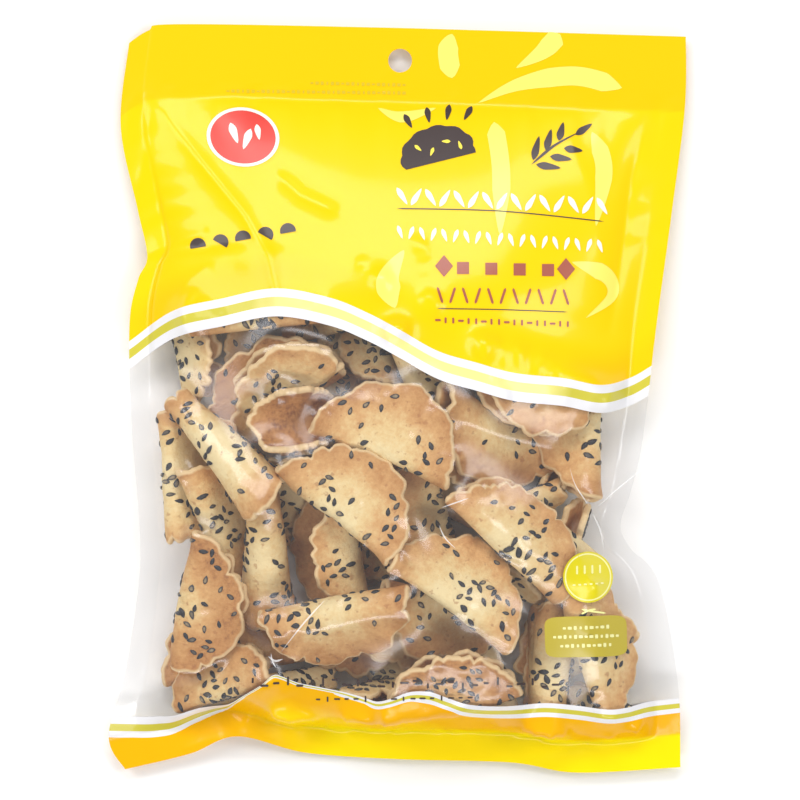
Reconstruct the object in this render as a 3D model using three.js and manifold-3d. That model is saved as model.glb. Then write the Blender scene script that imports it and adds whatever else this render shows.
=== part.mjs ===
// A sealed pillow bag of folded sesame crackers, lying on its back.
// Millimetres, +Z up. The header with the hang hole points to +Y and the shown face looks up.
// The origin is under the middle of the bag's box.
import * as THREE from "three";
import { mergeVertices } from "three/addons/utils/BufferGeometryUtils.js";
import Module from "manifold-3d";

// Driving dimensions. The bag is 195 mm wide, 253 mm long and about 47 mm thick.
const bag = {
  strips: { across: 40, along: 50 }, // of the surface, from side to side and from bottom to header
  sideSeal: 8.5, // width of the flat seam down each side
  bottomSeal: 11,
  header: 25, // length of the flat double film above the contents
  sealThick: 1.2,
  flatWidth: 190,
  flatLength: 250,
};
const pillow = {
  frontRise: 29, // from the side seams to the top of the shown face
  backDrop: 19, // from the side seams down, where the floor doesn't stop it
  fullness: 2.4, // power of the cross-section: 2 is round, more is boxier
  shoulder: 0.8,
  settled: 0.62, // under 1 the contents lie nearer the bottom seal
};
const seam = { low: 5, rise: 10, headerDroop: 1.5 }; // height of the seams above the floor
const hangHole = { x: 0.7, y: 114, radius: 4, sides: 32 };

// The bag's edge. The sides are pulled in where the contents fill it and nipped by folds.
const leftSide = [
  [-91.9, -124.7], [-97.4, -113.6], [-91.4, -91.1], [-86.8, -60], [-86.8, -41.3],
  [-89.4, -8.4], [-90.2, 25], [-87.4, 40], [-84.3, 48], [-87.7, 64.2], [-93.4, 92], [-90.6, 120],
];
const rightSide = [
  [95.1, -124], [94.1, -96.4], [87.4, -61.5], [77.6, -49.7], [74.6, -42], [78, -31.2],
  [82, -14.1], [86.7, 23.9], [92, 62], [96.6, 98], [97, 122.1],
];
const topEdge = [[-90.6, 120], [-84, 124.2], [-74, 126.3], [0, 125], [97, 122.1]];
const bottomEdge = [
  [-91.9, -124.7], [-70, -119.4], [-54, -113.4], [-31, -119.2], [0, -121.3], [38, -122.4],
  [60, -125.8], [95.1, -124],
];

// Where the film is pushed out by a cracker: centre, half axes, turn in degrees and height.
const bulges = [
  { x: -39, y: -7, a: 18, b: 14, turn: 0, lift: 2.2 },
  { x: -60, y: -17, a: 25, b: 13, turn: -42, lift: 2.4 },
  { x: -44, y: 12, a: 26, b: 12, turn: 10, lift: 1.8 },
  { x: -6, y: -14, a: 26, b: 17, turn: -18, lift: 2.6 },
  { x: -19, y: -37, a: 27, b: 14, turn: -38, lift: 2.2 },
  { x: 37, y: -16, a: 24, b: 18, turn: -20, lift: 2.4 },
  { x: 62, y: -18, a: 10, b: 18, turn: 0, lift: 1.6 },
  { x: 39, y: -50, a: 27, b: 15, turn: -40, lift: 2.4 },
  { x: 20, y: -65, a: 28, b: 15, turn: -36, lift: 2.6 },
  { x: -24, y: -75, a: 28, b: 12, turn: 12, lift: 2.4 },
  { x: -69, y: -67, a: 14, b: 24, turn: -10, lift: 2 },
  { x: -47, y: -55, a: 11, b: 22, turn: 8, lift: 2 },
  { x: -61, y: -96, a: 18, b: 11, turn: 10, lift: 1.6 },
  { x: -16, y: -91, a: 14, b: 8, turn: -10, lift: 1.4 },
  { x: 62, y: -93, a: 20, b: 10, turn: -12, lift: 1.8 },
];
const nipDent = { x: 66, y: -42, radius: 17, depth: 5 }; // the film folds in beside the right nip
const bottomBuckles = [{ x: -53, width: 10, lift: 4 }, { x: -22, width: 14, lift: -2 }];
const buckleReach = 0.13; // share of the bag's length over which the bottom buckles fade out

const smooth = (t) => t * t * (3 - 2 * t);
const clamp01 = THREE.MathUtils.clamp;
const curveThrough = (points) => new THREE.SplineCurve(points.map(([x, y]) => new THREE.Vector2(x, y)));

const edges = {
  left: curveThrough(leftSide),
  right: curveThrough(rightSide),
  top: curveThrough(topEdge),
  bottom: curveThrough(bottomEdge),
};

// A place on the bag, for u from the left edge to the right and v from the bottom to the top: each
// pair of facing edges is blended straight across, less the blend of the four corners.
function placeAt(u, v) {
  const along = (curve, t) => curve.getPointAt(t);
  const mix = (a, b, t) => a.clone().lerp(b, t);
  const sides = mix(along(edges.left, v), along(edges.right, v), u);
  const ends = mix(along(edges.bottom, u), along(edges.top, u), v);
  const corners = mix(
    mix(along(edges.left, 0), along(edges.right, 0), u),
    mix(along(edges.left, 1), along(edges.right, 1), u),
    v,
  );
  return sides.add(ends).sub(corners);
}

const seamShare = bag.sideSeal / bag.flatWidth;
const bottomShare = bag.bottomSeal / bag.flatLength;
const headerShare = 1 - bag.header / bag.flatLength;

// How full the bag is across it (0 at a seam, 1 in the middle) and along it.
const crown = (t) => (1 - Math.abs(2 * t - 1) ** pillow.fullness) ** pillow.shoulder;
function fullAcross(u) {
  return crown(clamp01((u - seamShare) / (1 - 2 * seamShare), 0, 1));
}
function bodyShare(v) {
  return clamp01((v - bottomShare) / (headerShare - bottomShare), 0, 1) ** pillow.settled;
}

// Height of the seams: low at the bottom seal and the header, and higher beside the contents.
function seamHeight(u, v, x) {
  const beside = Math.sin(Math.PI * bodyShare(v)) ** 1.3;
  const inHeader = clamp01((v - headerShare) / (1 - headerShare), 0, 1);
  const fade = smooth(clamp01(1 - v / buckleReach, 0, 1));
  const buckle = bottomBuckles.reduce(
    (sum, b) => sum + b.lift * Math.exp(-(((x - b.x) / b.width) ** 2)),
    0,
  );
  return seam.low + seam.rise * beside - seam.headerDroop * inHeader + buckle * fade;
}

// Domes where crackers press on the film, and the dent beside the right nip.
function relief(x, y) {
  let height = 0;
  for (const b of bulges) {
    const turn = THREE.MathUtils.degToRad(b.turn);
    const dx = x - b.x;
    const dy = y - b.y;
    const along = (dx * Math.cos(turn) + dy * Math.sin(turn)) / b.a;
    const across = (dy * Math.cos(turn) - dx * Math.sin(turn)) / b.b;
    height += b.lift * Math.max(0, 1 - along ** 2 - across ** 2) ** 2;
  }
  const dent = Math.hypot(x - nipDent.x, y - nipDent.y) / nipDent.radius;
  return height - nipDent.depth * Math.max(0, 1 - dent ** 2) ** 2;
}

function heightsAt(u, v, place) {
  const full = fullAcross(u) * crown(bodyShare(v));
  const middle = seamHeight(u, v, place.x);
  const half = bag.sealThick / 2;
  return {
    front: middle + half + pillow.frontRise * full + relief(place.x, place.y) * Math.min(1, 2 * full),
    back: Math.max(0, middle - half - pillow.backDrop * full),
  };
}

// Grid lines from 0 to 1 with one on each inner edge of a seal and the rest closer near them.
function gridLines(count, first, last) {
  const inner = count - 2;
  const lines = [0];
  for (let i = 0; i <= inner; i += 1) {
    const t = i / inner;
    const eased = 0.45 * t + 0.55 * smooth(t);
    lines.push(first + (last - first) * eased);
  }
  lines.push(1);
  return lines;
}

// The closed bag: a front and a back sheet on one grid, joined by a thin wall round the edge.
function bagGeometry() {
  const us = gridLines(bag.strips.across, seamShare, 1 - seamShare);
  const vs = gridLines(bag.strips.along, bottomShare, headerShare);
  const positions = [];
  for (const side of ["front", "back"]) {
    for (const v of vs) {
      for (const u of us) {
        const place = placeAt(u, v);
        positions.push(place.x, place.y, heightsAt(u, v, place)[side]);
      }
    }
  }
  const row = us.length;
  const sheet = row * vs.length;
  const faces = [];
  const quad = (a, b, c, d) => faces.push(a, b, c, a, c, d);
  for (let j = 0; j + 1 < vs.length; j += 1) {
    for (let i = 0; i + 1 < row; i += 1) {
      const a = j * row + i;
      quad(a, a + 1, a + 1 + row, a + row);
      quad(sheet + a, sheet + a + row, sheet + a + 1 + row, sheet + a + 1);
    }
  }
  const rim = [];
  for (let i = 0; i + 1 < row; i += 1) rim.push(i);
  for (let j = 0; j + 1 < vs.length; j += 1) rim.push(j * row + row - 1);
  for (let i = row - 1; i > 0; i -= 1) rim.push((vs.length - 1) * row + i);
  for (let j = vs.length - 1; j > 0; j -= 1) rim.push(j * row);
  rim.forEach((a, k) => {
    const b = rim[(k + 1) % rim.length];
    quad(a, sheet + a, sheet + b, b);
  });
  const geometry = new THREE.BufferGeometry();
  geometry.setAttribute("position", new THREE.Float32BufferAttribute(positions, 3));
  geometry.setIndex(faces);
  return geometry;
}

function holeGeometry() {
  const geometry = new THREE.CylinderGeometry(hangHole.radius, hangHole.radius, 40, hangHole.sides);
  geometry.rotateX(Math.PI / 2);
  geometry.translate(hangHole.x, hangHole.y, 0);
  return geometry;
}

const wasm = await Module();
wasm.setup();

function solidOf(geometry) {
  const bare = geometry.clone();
  bare.deleteAttribute("normal");
  bare.deleteAttribute("uv");
  const merged = mergeVertices(bare, 1e-4);
  return new wasm.Manifold(
    new wasm.Mesh({
      numProp: 3,
      vertProperties: merged.attributes.position.array,
      triVerts: new Uint32Array(merged.index.array),
    }),
  );
}

function geometryOf(solid) {
  const mesh = solid.getMesh();
  const geometry = new THREE.BufferGeometry();
  geometry.setAttribute("position", new THREE.BufferAttribute(mesh.vertProperties, 3));
  geometry.setIndex(new THREE.BufferAttribute(mesh.triVerts, 1));
  geometry.computeVertexNormals();
  return geometry;
}

const film = new THREE.MeshStandardMaterial({ color: 0xffe01a, roughness: 0.3, metalness: 0 });
const crackerBag = new THREE.Mesh(
  geometryOf(solidOf(bagGeometry()).subtract(solidOf(holeGeometry()))),
  film,
);
crackerBag.name = "cracker_bag";

const part = new THREE.Group();
part.add(crackerBag);
export default part;
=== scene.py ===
import math
import bpy
import numpy as np
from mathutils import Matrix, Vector


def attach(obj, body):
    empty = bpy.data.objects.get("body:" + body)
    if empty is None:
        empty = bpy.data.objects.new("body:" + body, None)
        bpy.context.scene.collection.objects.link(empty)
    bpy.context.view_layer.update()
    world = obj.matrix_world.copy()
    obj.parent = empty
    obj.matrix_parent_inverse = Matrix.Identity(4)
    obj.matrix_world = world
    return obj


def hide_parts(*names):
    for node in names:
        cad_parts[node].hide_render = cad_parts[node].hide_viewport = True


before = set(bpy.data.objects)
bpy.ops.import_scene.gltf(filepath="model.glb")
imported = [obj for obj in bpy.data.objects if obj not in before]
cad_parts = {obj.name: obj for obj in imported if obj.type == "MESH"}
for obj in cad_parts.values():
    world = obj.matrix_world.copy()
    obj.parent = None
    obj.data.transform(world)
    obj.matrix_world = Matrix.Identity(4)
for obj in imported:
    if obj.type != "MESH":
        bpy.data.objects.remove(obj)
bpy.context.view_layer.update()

# A sealed bag of folded sesame crackers that lies on its back, seen from straight above.
# Shapes are worked out in millimetres and become metres when a mesh is made.
mm = 0.001

view = {
    "middle": (0.67, -0.34),  # mm, the point under the camera
    "height": 2200.0,
    "level": 10.0,  # height of the seams, where the frame is measured
    "frameWidth": 268.8,  # mm across the frame there
    "frameSide": 800,
    "sensor": 36.0,
    "reach": 20,  # metres
}


def placeOfPixel(pixel, level=None):
    # a pixel of the frame on the plane at that height: offset from the frame's middle, times the
    # millimetres a pixel covers at the seams, narrowed with height as the view is
    z = view["level"] if level is None else level
    scale = view["frameWidth"] / view["frameSide"]
    scale *= (view["height"] - z) / (view["height"] - view["level"])
    x = view["middle"][0] + (pixel[0] - view["frameSide"] / 2) * scale
    y = view["middle"][1] - (pixel[1] - view["frameSide"] / 2) * scale
    return x, y


def linearOf(colour):
    # an sRGB hex colour as linear red, green, blue and full alpha
    parts = [int(colour[i:i + 2], 16) / 255 for i in (1, 3, 5)]
    return tuple(c / 12.92 if c <= 0.04045 else ((c + 0.055) / 1.055) ** 2.4 for c in parts) + (1.0,)


def smooth(t):
    # 3 t squared less 2 t cubed, from 0 to 1
    t = np.clip(t, 0, 1)
    return t * t * (3 - 2 * t)


def gridFaces(rows, columns, wrap=False):
    # quads of a grid of points, row after row; wrap joins the last column to the first
    across = columns if wrap else columns - 1
    j, i = np.meshgrid(np.arange(rows - 1), np.arange(across), indexing="ij")
    right = (i + 1) % columns
    return np.stack([j * columns + i, j * columns + right, (j + 1) * columns + right,
                     (j + 1) * columns + i], axis=-1).reshape(-1, 4)


# The bag's form in millimetres; its four edges are points of its outline.
bag = {
    "sideSeal": 8.5,
    "bottomSeal": 11.0,
    "header": 25.0,
    "sealThick": 0.5,
    "flatWidth": 190.0,
    "flatLength": 250.0,
    "frontRise": 29.0,
    "backDrop": 19.0,
    "fullness": 2.4,  # power of the cross-section
    "shoulder": 0.8,
    "settled": 0.62,  # under 1 the contents lie nearer the bottom
    "seamLow": 5.0,
    "seamRise": 10.0,
    "headerDroop": 1.5,
    "besidePower": 1.3,  # how soon the seams rise beside the contents
    "floorGap": 0.35,
    "buckleReach": 0.13,
    "buckles": [(-53, 10, 4), (-22, 14, -2)],  # x, width and lift of the bottom seal's waves
    "backStep": (180, 248),  # mm that a step of sharesAt takes for a whole share, across and along
    "backSteps": 8,
    "left": [(-91.9, -124.7), (-97.4, -113.6), (-91.4, -91.1), (-86.8, -60), (-86.8, -41.3),
             (-89.4, -8.4), (-90.2, 25), (-87.4, 40), (-84.3, 48), (-87.7, 64.2), (-93.4, 92),
             (-90.6, 120)],
    "right": [(95.1, -124), (94.1, -96.4), (87.4, -61.5), (77.6, -49.7), (74.6, -42), (78, -31.2),
              (82, -14.1), (86.7, 23.9), (92, 62), (96.6, 98), (97, 122.1)],
    "top": [(-90.6, 120), (-84, 124.2), (-74, 126.3), (0, 125), (97, 122.1)],
    "bottom": [(-91.9, -124.7), (-70, -119.4), (-54, -113.4), (-31, -119.2), (0, -121.3),
               (38, -122.4), (60, -125.8), (95.1, -124)],
}


def splineTable(points, steps=40):
    # a Catmull-Rom curve through the points, as arc length from 0 to 1 beside x and y
    known = np.array([points[0]] + list(points) + [points[-1]], dtype=float)
    t = np.linspace(0, 1, steps, endpoint=False)[:, None]
    runs = []
    for p0, p1, p2, p3 in zip(known, known[1:], known[2:], known[3:]):
        v0 = (p2 - p0) / 2
        v1 = (p3 - p1) / 2
        runs.append((2 * p1 - 2 * p2 + v0 + v1) * t ** 3
                    + (-3 * p1 + 3 * p2 - 2 * v0 - v1) * t ** 2 + v0 * t + p1)
    line = np.vstack(runs + [known[-1][None]])
    length = np.concatenate([[0], np.cumsum(np.hypot(*np.diff(line, axis=0).T))])
    return length / length[-1], line


edgeTables = {side: splineTable(bag[side]) for side in ("left", "right", "top", "bottom")}


def alongEdge(side, t):
    # the point of that edge at a share t of its length
    share, line = edgeTables[side]
    return np.stack([np.interp(t, share, line[:, 0]), np.interp(t, share, line[:, 1])], axis=-1)


def placeAt(u, v):
    # facing edges blended straight across, left to right by u and bottom to top by v, less the
    # blend of the four corners
    u, v = np.broadcast_arrays(np.asarray(u, float), np.asarray(v, float))
    a, b = u[..., None], v[..., None]
    sides = alongEdge("left", v) * (1 - a) + alongEdge("right", v) * a
    ends = alongEdge("bottom", u) * (1 - b) + alongEdge("top", u) * b
    corner = {(s, t): alongEdge(s, t) for s in ("left", "right") for t in (0.0, 1.0)}
    corners = (corner["left", 0.0] * (1 - a) + corner["right", 0.0] * a) * (1 - b)
    corners = corners + (corner["left", 1.0] * (1 - a) + corner["right", 1.0] * a) * b
    place = sides + ends - corners
    return place[..., 0], place[..., 1]


def sharesAt(x, y):
    # u and v of a place, by stepping back along the bag's width and length until it meets the place
    u = np.clip((x + bag["flatWidth"] / 2) / bag["flatWidth"], 0, 1)
    v = np.clip((y + bag["flatLength"] / 2) / bag["flatLength"], 0, 1)
    for _ in range(bag["backSteps"]):
        px, py = placeAt(np.clip(u, 0, 1), np.clip(v, 0, 1))
        u = u + (x - px) / bag["backStep"][0]
        v = v + (y - py) / bag["backStep"][1]
    return u, v


seamShare = bag["sideSeal"] / bag["flatWidth"]
bottomShare = bag["bottomSeal"] / bag["flatLength"]
headerShare = 1 - bag["header"] / bag["flatLength"]


def crown(t):
    # 0 at both ends and 1 in the middle, boxier than a circle
    return (1 - np.abs(2 * np.clip(t, 0, 1) - 1) ** bag["fullness"]) ** bag["shoulder"]


def bagHeights(u, v, x):
    # seams low at both ends and higher beside the contents, the front above them and the back
    # below them by the crown across times the crown along, the back stopped by the floor
    body = np.clip((v - bottomShare) / (headerShare - bottomShare), 0, 1) ** bag["settled"]
    full = crown((u - seamShare) / (1 - 2 * seamShare)) * crown(body)
    beside = np.sin(np.pi * body) ** bag["besidePower"]
    inHeader = np.clip((v - headerShare) / (1 - headerShare), 0, 1)
    buckle = sum(lift * np.exp(-(((x - at) / width) ** 2)) for at, width, lift in bag["buckles"])
    seam = (bag["seamLow"] + bag["seamRise"] * beside - bag["headerDroop"] * inHeader
            + buckle * smooth(1 - v / bag["buckleReach"]))
    half = bag["sealThick"] / 2
    front = seam + half + bag["frontRise"] * full
    back = np.maximum(bag["floorGap"], seam - half - bag["backDrop"] * full)
    return front, back, full


# A raster over the bag in millimetres, for stacking the crackers and draping the film.
raster = {
    "pitch": 1.0,
    "halfWidth": 104,
    "halfLength": 132,
    "full": 0.3,  # fullness from which a cell counts as behind the window
    "windowEnds": (-108, 32),
    "onSeal": 0.03,  # fullness under which it counts as seal
    "none": 1e9,  # stands for a height that isn't known
}
rasterX = np.arange(-raster["halfWidth"], raster["halfWidth"] + 1, raster["pitch"])
rasterY = np.arange(-raster["halfLength"], raster["halfLength"] + 1, raster["pitch"])
gridX, gridY = np.meshgrid(rasterX, rasterY)
rasterU, rasterV = sharesAt(gridX, gridY)
rasterFront, rasterBack, rasterFull = bagHeights(rasterU, rasterV, gridX)
onSeal = (rasterFull < raster["onSeal"]).ravel()


def cellOf(x, y):
    # row and column of the raster's cell nearest to a place
    column = np.rint((x - rasterX[0]) / raster["pitch"]).astype(int)
    row = np.rint((y - rasterY[0]) / raster["pitch"]).astype(int)
    return np.clip(row, 0, len(rasterY) - 1), np.clip(column, 0, len(rasterX) - 1)


def readRaster(values, x, y):
    # bilinear reading of a raster at any place
    fx = np.clip((x - rasterX[0]) / raster["pitch"], 0, len(rasterX) - 1.001)
    fy = np.clip((y - rasterY[0]) / raster["pitch"], 0, len(rasterY) - 1.001)
    i, j = fx.astype(int), fy.astype(int)
    a, b = fx - i, fy - j
    return ((values[j, i] * (1 - a) + values[j, i + 1] * a) * (1 - b)
            + (values[j + 1, i] * (1 - a) + values[j + 1, i + 1] * a) * b)


def windowCells(side):
    # the cells behind the clear window, off the seals and within side mm of the middle
    low, high = raster["windowEnds"]
    return ((rasterFull > raster["full"]) & (gridY < high) & (gridY > low)
            & (np.abs(gridX) < side)).ravel()


cracker = {
    "radius": 26.0,
    "thick": 2.4,
    "rimThick": 2.9,
    "rimFrom": (0.8, 0.16),  # share of the radius where it starts to thicken, and over how much
    "rings": 11,
    "spokes": 200,
    "lastRing": 0.95,
    "ringPower": 0.9,  # under 1 the rings are closer towards the rim
    "rimCorners": 5,  # steps round the rim from one face to the other
    "notches": 27,  # round the rim, at uneven steps
    "notchDepth": (0.25, 3.2),  # shallow ones are far more common
    "notchWidth": (0.6, 2.0),
    "crimp": 0.8,  # how far the sheet is pinched at a notch
    "ruffle": 0.9,
    "warp": 0.9,
    "blister": 0.6,
    "seeds": 46,
    "clumps": 7,
    "gap": 0.35,  # between stacked crackers
    "filmGap": 0.5,
    "fill": 0.94,  # how far the contents fill out the pillow towards its seams
    "follow": 0.8,  # how far a cracker tips with the film over it
    "slopeReach": 12.0,  # mm each way over which that slope is read
    "nesting": (99.0, 7.0, 5.0, 3.6, 2.6, 1.9),  # depth kept clear behind a cracker, best first
    "reach": (0.8, 0.8, 4.0, 4.0, 10.0, 14.0),  # extra slopes, shift in mm, twist and roll tried
    "fillers": 34,  # crackers that close the gaps behind the listed ones
    "bedding": (5, 8),  # and that lie on the back film: folded ones, then broken halves
}

# Each cracker by the two ends of its fold line in the picture, its rim to the left of the way
# from the first to the second. roll brings a side of the fold to the viewer (0 the fold's back, the
# fold angle its side, 180 its mouth), fold is how far each side bends over, bend the fold's radius
# in mm, offset how far the fold line lies from the disc's middle and lean how far the fold line's
# second end is raised. The ones in front come first.
flank = dict(roll=84, fold=86, bend=3.0, offset=0, edge=1)
slim = dict(roll=86, fold=88, bend=2.5, offset=-1, edge=1, curl=0.001, ruffle=0.6)
tube = dict(roll=5, fold=135, bend=6.2, offset=0, edge=0)
crackerPlaces = [
    dict(flank, spine=((407, 582), (248, 617)), roll=62, fold=96, bend=5.0, offset=0, size=1.02),
    dict(flank, spine=((452, 497), (562, 602)), flare=0.3, size=1.0, offset=0.5),
    dict(flank, spine=((275, 478), (391, 560)), flare=-0.3, size=0.98, offset=-1.5),
    dict(flank, spine=((306, 434), (448, 490)), flare=0.2, size=1.0, offset=-1),
    dict(flank, spine=((384, 555), (520, 655)), size=1.0, offset=-1, flare=0.5),
    dict(flank, spine=((620, 398), (488, 328)), size=1.0),
    dict(flank, spine=((606, 500), (608, 362)), roll=22, size=0.94),
    dict(flank, spine=((583, 438), (438, 378)), size=1.04, offset=1),
    dict(tube, spine=((168, 402), (262, 500)), flare=0.5, size=1.0),
    dict(flank, spine=((198, 528), (142, 668)), roll=58, size=0.92, offset=0, brown=2.0),
    dict(flank, spine=((366, 602), (360, 502)), roll=102, fold=68, bend=4.5, offset=5.5, size=0.92),
    dict(tube, spine=((256, 498), (262, 616)), flare=0.4, size=0.94),
    dict(flank, spine=((172, 718), (268, 696)), roll=80, size=0.8, brown=2.0),
    # brown=4 darkens this small tube all over, inside too: painted shade for the dark inside of its curl.
    dict(tube, spine=((312, 400), (262, 424)), roll=180, lean=48, size=0.68, fold=125, bend=9.4,
         brown=4),
    dict(slim, spine=((250, 450), (345, 404)), size=0.94, roll=140, bend=3.0),
    dict(slim, spine=((222, 446), (345, 400)), size=0.98, roll=128, bend=3.4, brown=2.0),
    dict(slim, spine=((290, 450), (410, 440)), size=0.96),
    dict(slim, spine=((165, 505), (215, 575)), size=0.85, roll=70),
    dict(slim, spine=((172, 438), (168, 530)), roll=45, size=0.9),
    dict(slim, spine=((476, 566), (458, 462)), roll=92, size=0.96, sink=3, brown=2.0),
    dict(flank, spine=((560, 604), (610, 708)), size=0.92, offset=-1, brown=1.0),
    dict(tube, spine=((560, 708), (572, 650)), size=0.9, roll=10, bend=5.4),
    dict(tube, spine=((537, 625), (525, 708)), size=0.9, bend=5.4),
    dict(slim, spine=((180, 694), (268, 672)), size=0.94, brown=2.0),
    dict(slim, spine=((405, 734), (520, 724)), size=0.88, roll=80, brown=3.0),
    dict(slim, spine=((505, 590), (400, 562)), size=0.96, sink=4, brown=1.5),
    dict(slim, spine=((440, 592), (375, 602)), roll=104, size=0.84, sink=4),
    dict(slim, spine=((395, 597), (300, 614)), size=0.94, sink=3, brown=1.5),
    dict(slim, spine=((545, 696), (625, 652)), size=0.94),
    dict(slim, spine=((592, 470), (566, 560)), size=0.9),
    dict(slim, spine=((206, 334), (300, 326)), size=0.92, brown=2.0),
    dict(slim, spine=((384, 346), (430, 440)), size=0.94),
    dict(slim, spine=((300, 356), (390, 326)), size=0.9),
    dict(slim, spine=((430, 345), (530, 360)), size=0.9),
]
crackerDefaults = dict(brown=0.0, sink=0.0, lean=0.0, flare=0.0, curl=0.004, size=1.0, ruffle=1.0,
                       broken=99.0)

# The uneven surface and outline of each disc.
relief = {
    "waveOrders": ((3, 6), (7, 11), (12, 18)),  # waves round the rim, at random between these
    "waveShares": (1.0, 0.7, 0.5),
    "wavesFrom": (0.6, 0.4),  # share of the radius where they start, and over how much they grow
    "warpLength": (9.0, 11.0),
    "blisters": 16,
    "blisterReach": 18,
    "blisterWidth": (1.2, 4.5),
    "blisterLift": (-0.7, 1),
    "pinchFrom": (0.74, 0.26),
    "pinchWider": 0.8,  # mm that a pinch is wider than its notch
    "notchStep": 0.15,  # least step between notches, where the mean is 1.15
    "notchPower": 2.2,
    "oval": (0.03, 0.018),  # shares of the radius, at two and three waves round
    "lobes": ((6, 10, 0.5), (11, 18, 0.35), (28, 44, 0.16)),  # least and most round the rim, and mm
    "lobePhase": 6.3,
    "breakWave": (0.12, 9),  # share of its distance, and waves round
}


def bendDisc(p, q, h, c):
    # p runs across the fold line, q along it and h off the disc. From the fold line each side
    # follows an arc of radius bend, wider along the line by flare, until it has turned by the fold
    # angle, then a wide arc of curvature curl; h goes along the normal.
    share = q / cracker["radius"]
    radius = c["bend"] * (1 + c["flare"] * share)
    s = p - c["offset"]
    side = np.where(s < 0, -1.0, 1.0)
    away = np.abs(s)
    arc = np.minimum(away, radius * math.radians(c["fold"]))
    turned = arc / radius
    curl = c["curl"]
    angle = turned + (away - arc) * curl
    across = radius * np.sin(turned) + (np.sin(angle) - np.sin(turned)) / curl
    down = radius * (1 - np.cos(turned)) + (np.cos(turned) - np.cos(angle)) / curl
    y = side * (across + h * np.sin(angle))
    z = -down + h * np.cos(angle)
    return np.stack([q, y, z], axis=-1)


def rotation(axis, degrees):
    # turn about one of the axes 0, 1, 2
    c, s = math.cos(math.radians(degrees)), math.sin(math.radians(degrees))
    i, j = [(1, 2), (2, 0), (0, 1)][axis]
    m = np.eye(3)
    m[i, i] = m[j, j] = c
    m[i, j] = -s
    m[j, i] = s
    return m


def discRelief(p, q, c):
    # height of the disc's middle sheet: waves that grow towards the rim, a slow warp, low blisters
    # and a radial pinch that fades inward from each notch
    radius = np.hypot(p, q) / cracker["radius"]
    angle = np.arctan2(q, p)
    outer = smooth((radius - relief["wavesFrom"][0]) / relief["wavesFrom"][1])
    waves = sum(share * np.sin(order * angle + phase)
                for share, order, phase in zip(relief["waveShares"], c["waves"], c["phase"]))
    height = cracker["ruffle"] * c["ruffle"] * waves * outer
    warpP, warpQ = relief["warpLength"]
    height = height + (cracker["warp"] * c["ruffle"] * np.sin(p / warpP + c["phase"][4])
                       * np.sin(q / warpQ + c["phase"][5]))
    for bx, by, width, lift in c["blisters"]:
        height = height + lift * np.exp(-((p - bx) ** 2 + (q - by) ** 2) / width ** 2)
    rim = smooth((radius / c["size"] - relief["pinchFrom"][0]) / relief["pinchFrom"][1])
    for at, width, pinch in zip(c["notchAt"], c["notchWidth"], c["pinch"]):
        apart = ((angle - at + np.pi) % (2 * np.pi) - np.pi) * cracker["radius"] * c["size"]
        height = height + pinch * rim * np.exp(-(apart / (width + relief["pinchWider"])) ** 2)
    return height


def rimRadius(angle, c):
    # an uneven oval less a notch at each of the crimps, depth / (1 + (arc / width) squared), so
    # that round lobes stay between them, and cut straight where the cracker is broken
    radius = cracker["radius"] * c["size"]
    two, three = relief["oval"]
    oval = radius * (1 + two * np.cos(2 * angle + c["phase"][2])
                     + three * np.cos(3 * angle + c["phase"][3]))
    for order, lift, phase in c["lobes"]:
        oval = oval + lift * np.sin(order * angle + phase)
    apart = (angle[:, None] - c["notchAt"] + np.pi) % (2 * np.pi) - np.pi
    edge = oval - (c["notchDepth"] / (1 + (apart * radius / c["notchWidth"]) ** 2)).sum(axis=1)
    facing = np.maximum(np.cos(angle - c["phase"][0]), 1e-3)
    share, order = relief["breakWave"]
    return np.minimum(edge, c["broken"] * (1 + share * np.sin(order * angle + c["phase"][1])) / facing)


def crackerSurface(c):
    # profile carried round the disc: out along the top, round the rim and back under, bent last
    rings, spokes, corners = cracker["rings"], cracker["spokes"], cracker["rimCorners"]
    angle = np.linspace(0, 2 * np.pi, spokes, endpoint=False)
    edge = rimRadius(angle, c)
    out = np.append(np.linspace(0, cracker["lastRing"], rings)[1:] ** cracker["ringPower"], 1.0)
    turn = np.linspace(90, -90, corners + 2)[1:-1] * np.pi / 180
    share = np.concatenate([out, np.ones(corners), out[::-1]])
    lift = np.concatenate([np.ones(rings), np.sin(turn), -np.ones(rings)])
    push = np.concatenate([np.zeros(rings), np.cos(turn), np.zeros(rings)])
    inner = (edge - cracker["rimThick"] / 2)[None, :] * share[:, None]
    r = inner + push[:, None] * cracker["rimThick"] / 2
    p = r * np.cos(angle)
    q = r * np.sin(angle)
    near = smooth((r / cracker["radius"] - cracker["rimFrom"][0]) / cracker["rimFrom"][1])
    half = (cracker["thick"] + (cracker["rimThick"] - cracker["thick"]) * near) / 2
    h = lift[:, None] * half + discRelief(p, q, c)
    points = bendDisc(p, q, h, c)
    poles = bendDisc(np.zeros(2), np.zeros(2), np.array([1, -1]) * cracker["thick"] / 2
                     + discRelief(np.zeros(2), np.zeros(2), c), c)
    rows = len(share)
    faces = gridFaces(rows, spokes, wrap=True)
    last = rows * spokes
    spoke = np.arange(spokes)
    nextSpoke = (spoke + 1) % spokes
    topFan = np.stack([nextSpoke, spoke, np.full(spokes, last)], axis=1)
    underFan = np.stack([(rows - 1) * spokes + spoke, (rows - 1) * spokes + nextSpoke,
                         np.full(spokes, last + 1)], axis=1)
    top = np.concatenate([np.ones(rings), 0.5 + 0.5 * np.sin(turn), np.zeros(rings)])
    rim = np.concatenate([np.zeros(rings), np.ones(corners), np.zeros(rings)])
    fields = {
        "top": np.concatenate([np.repeat(top, spokes), [1, 0]]),
        "rim": np.concatenate([np.repeat(rim, spokes), [0, 0]]),
        "discX": np.concatenate([p.ravel(), [0, 0]]),
        "discY": np.concatenate([q.ravel(), [0, 0]]),
    }
    return np.vstack([points.reshape(-1, 3), poles]), faces, np.vstack([topFan, underFan]), fields


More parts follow.
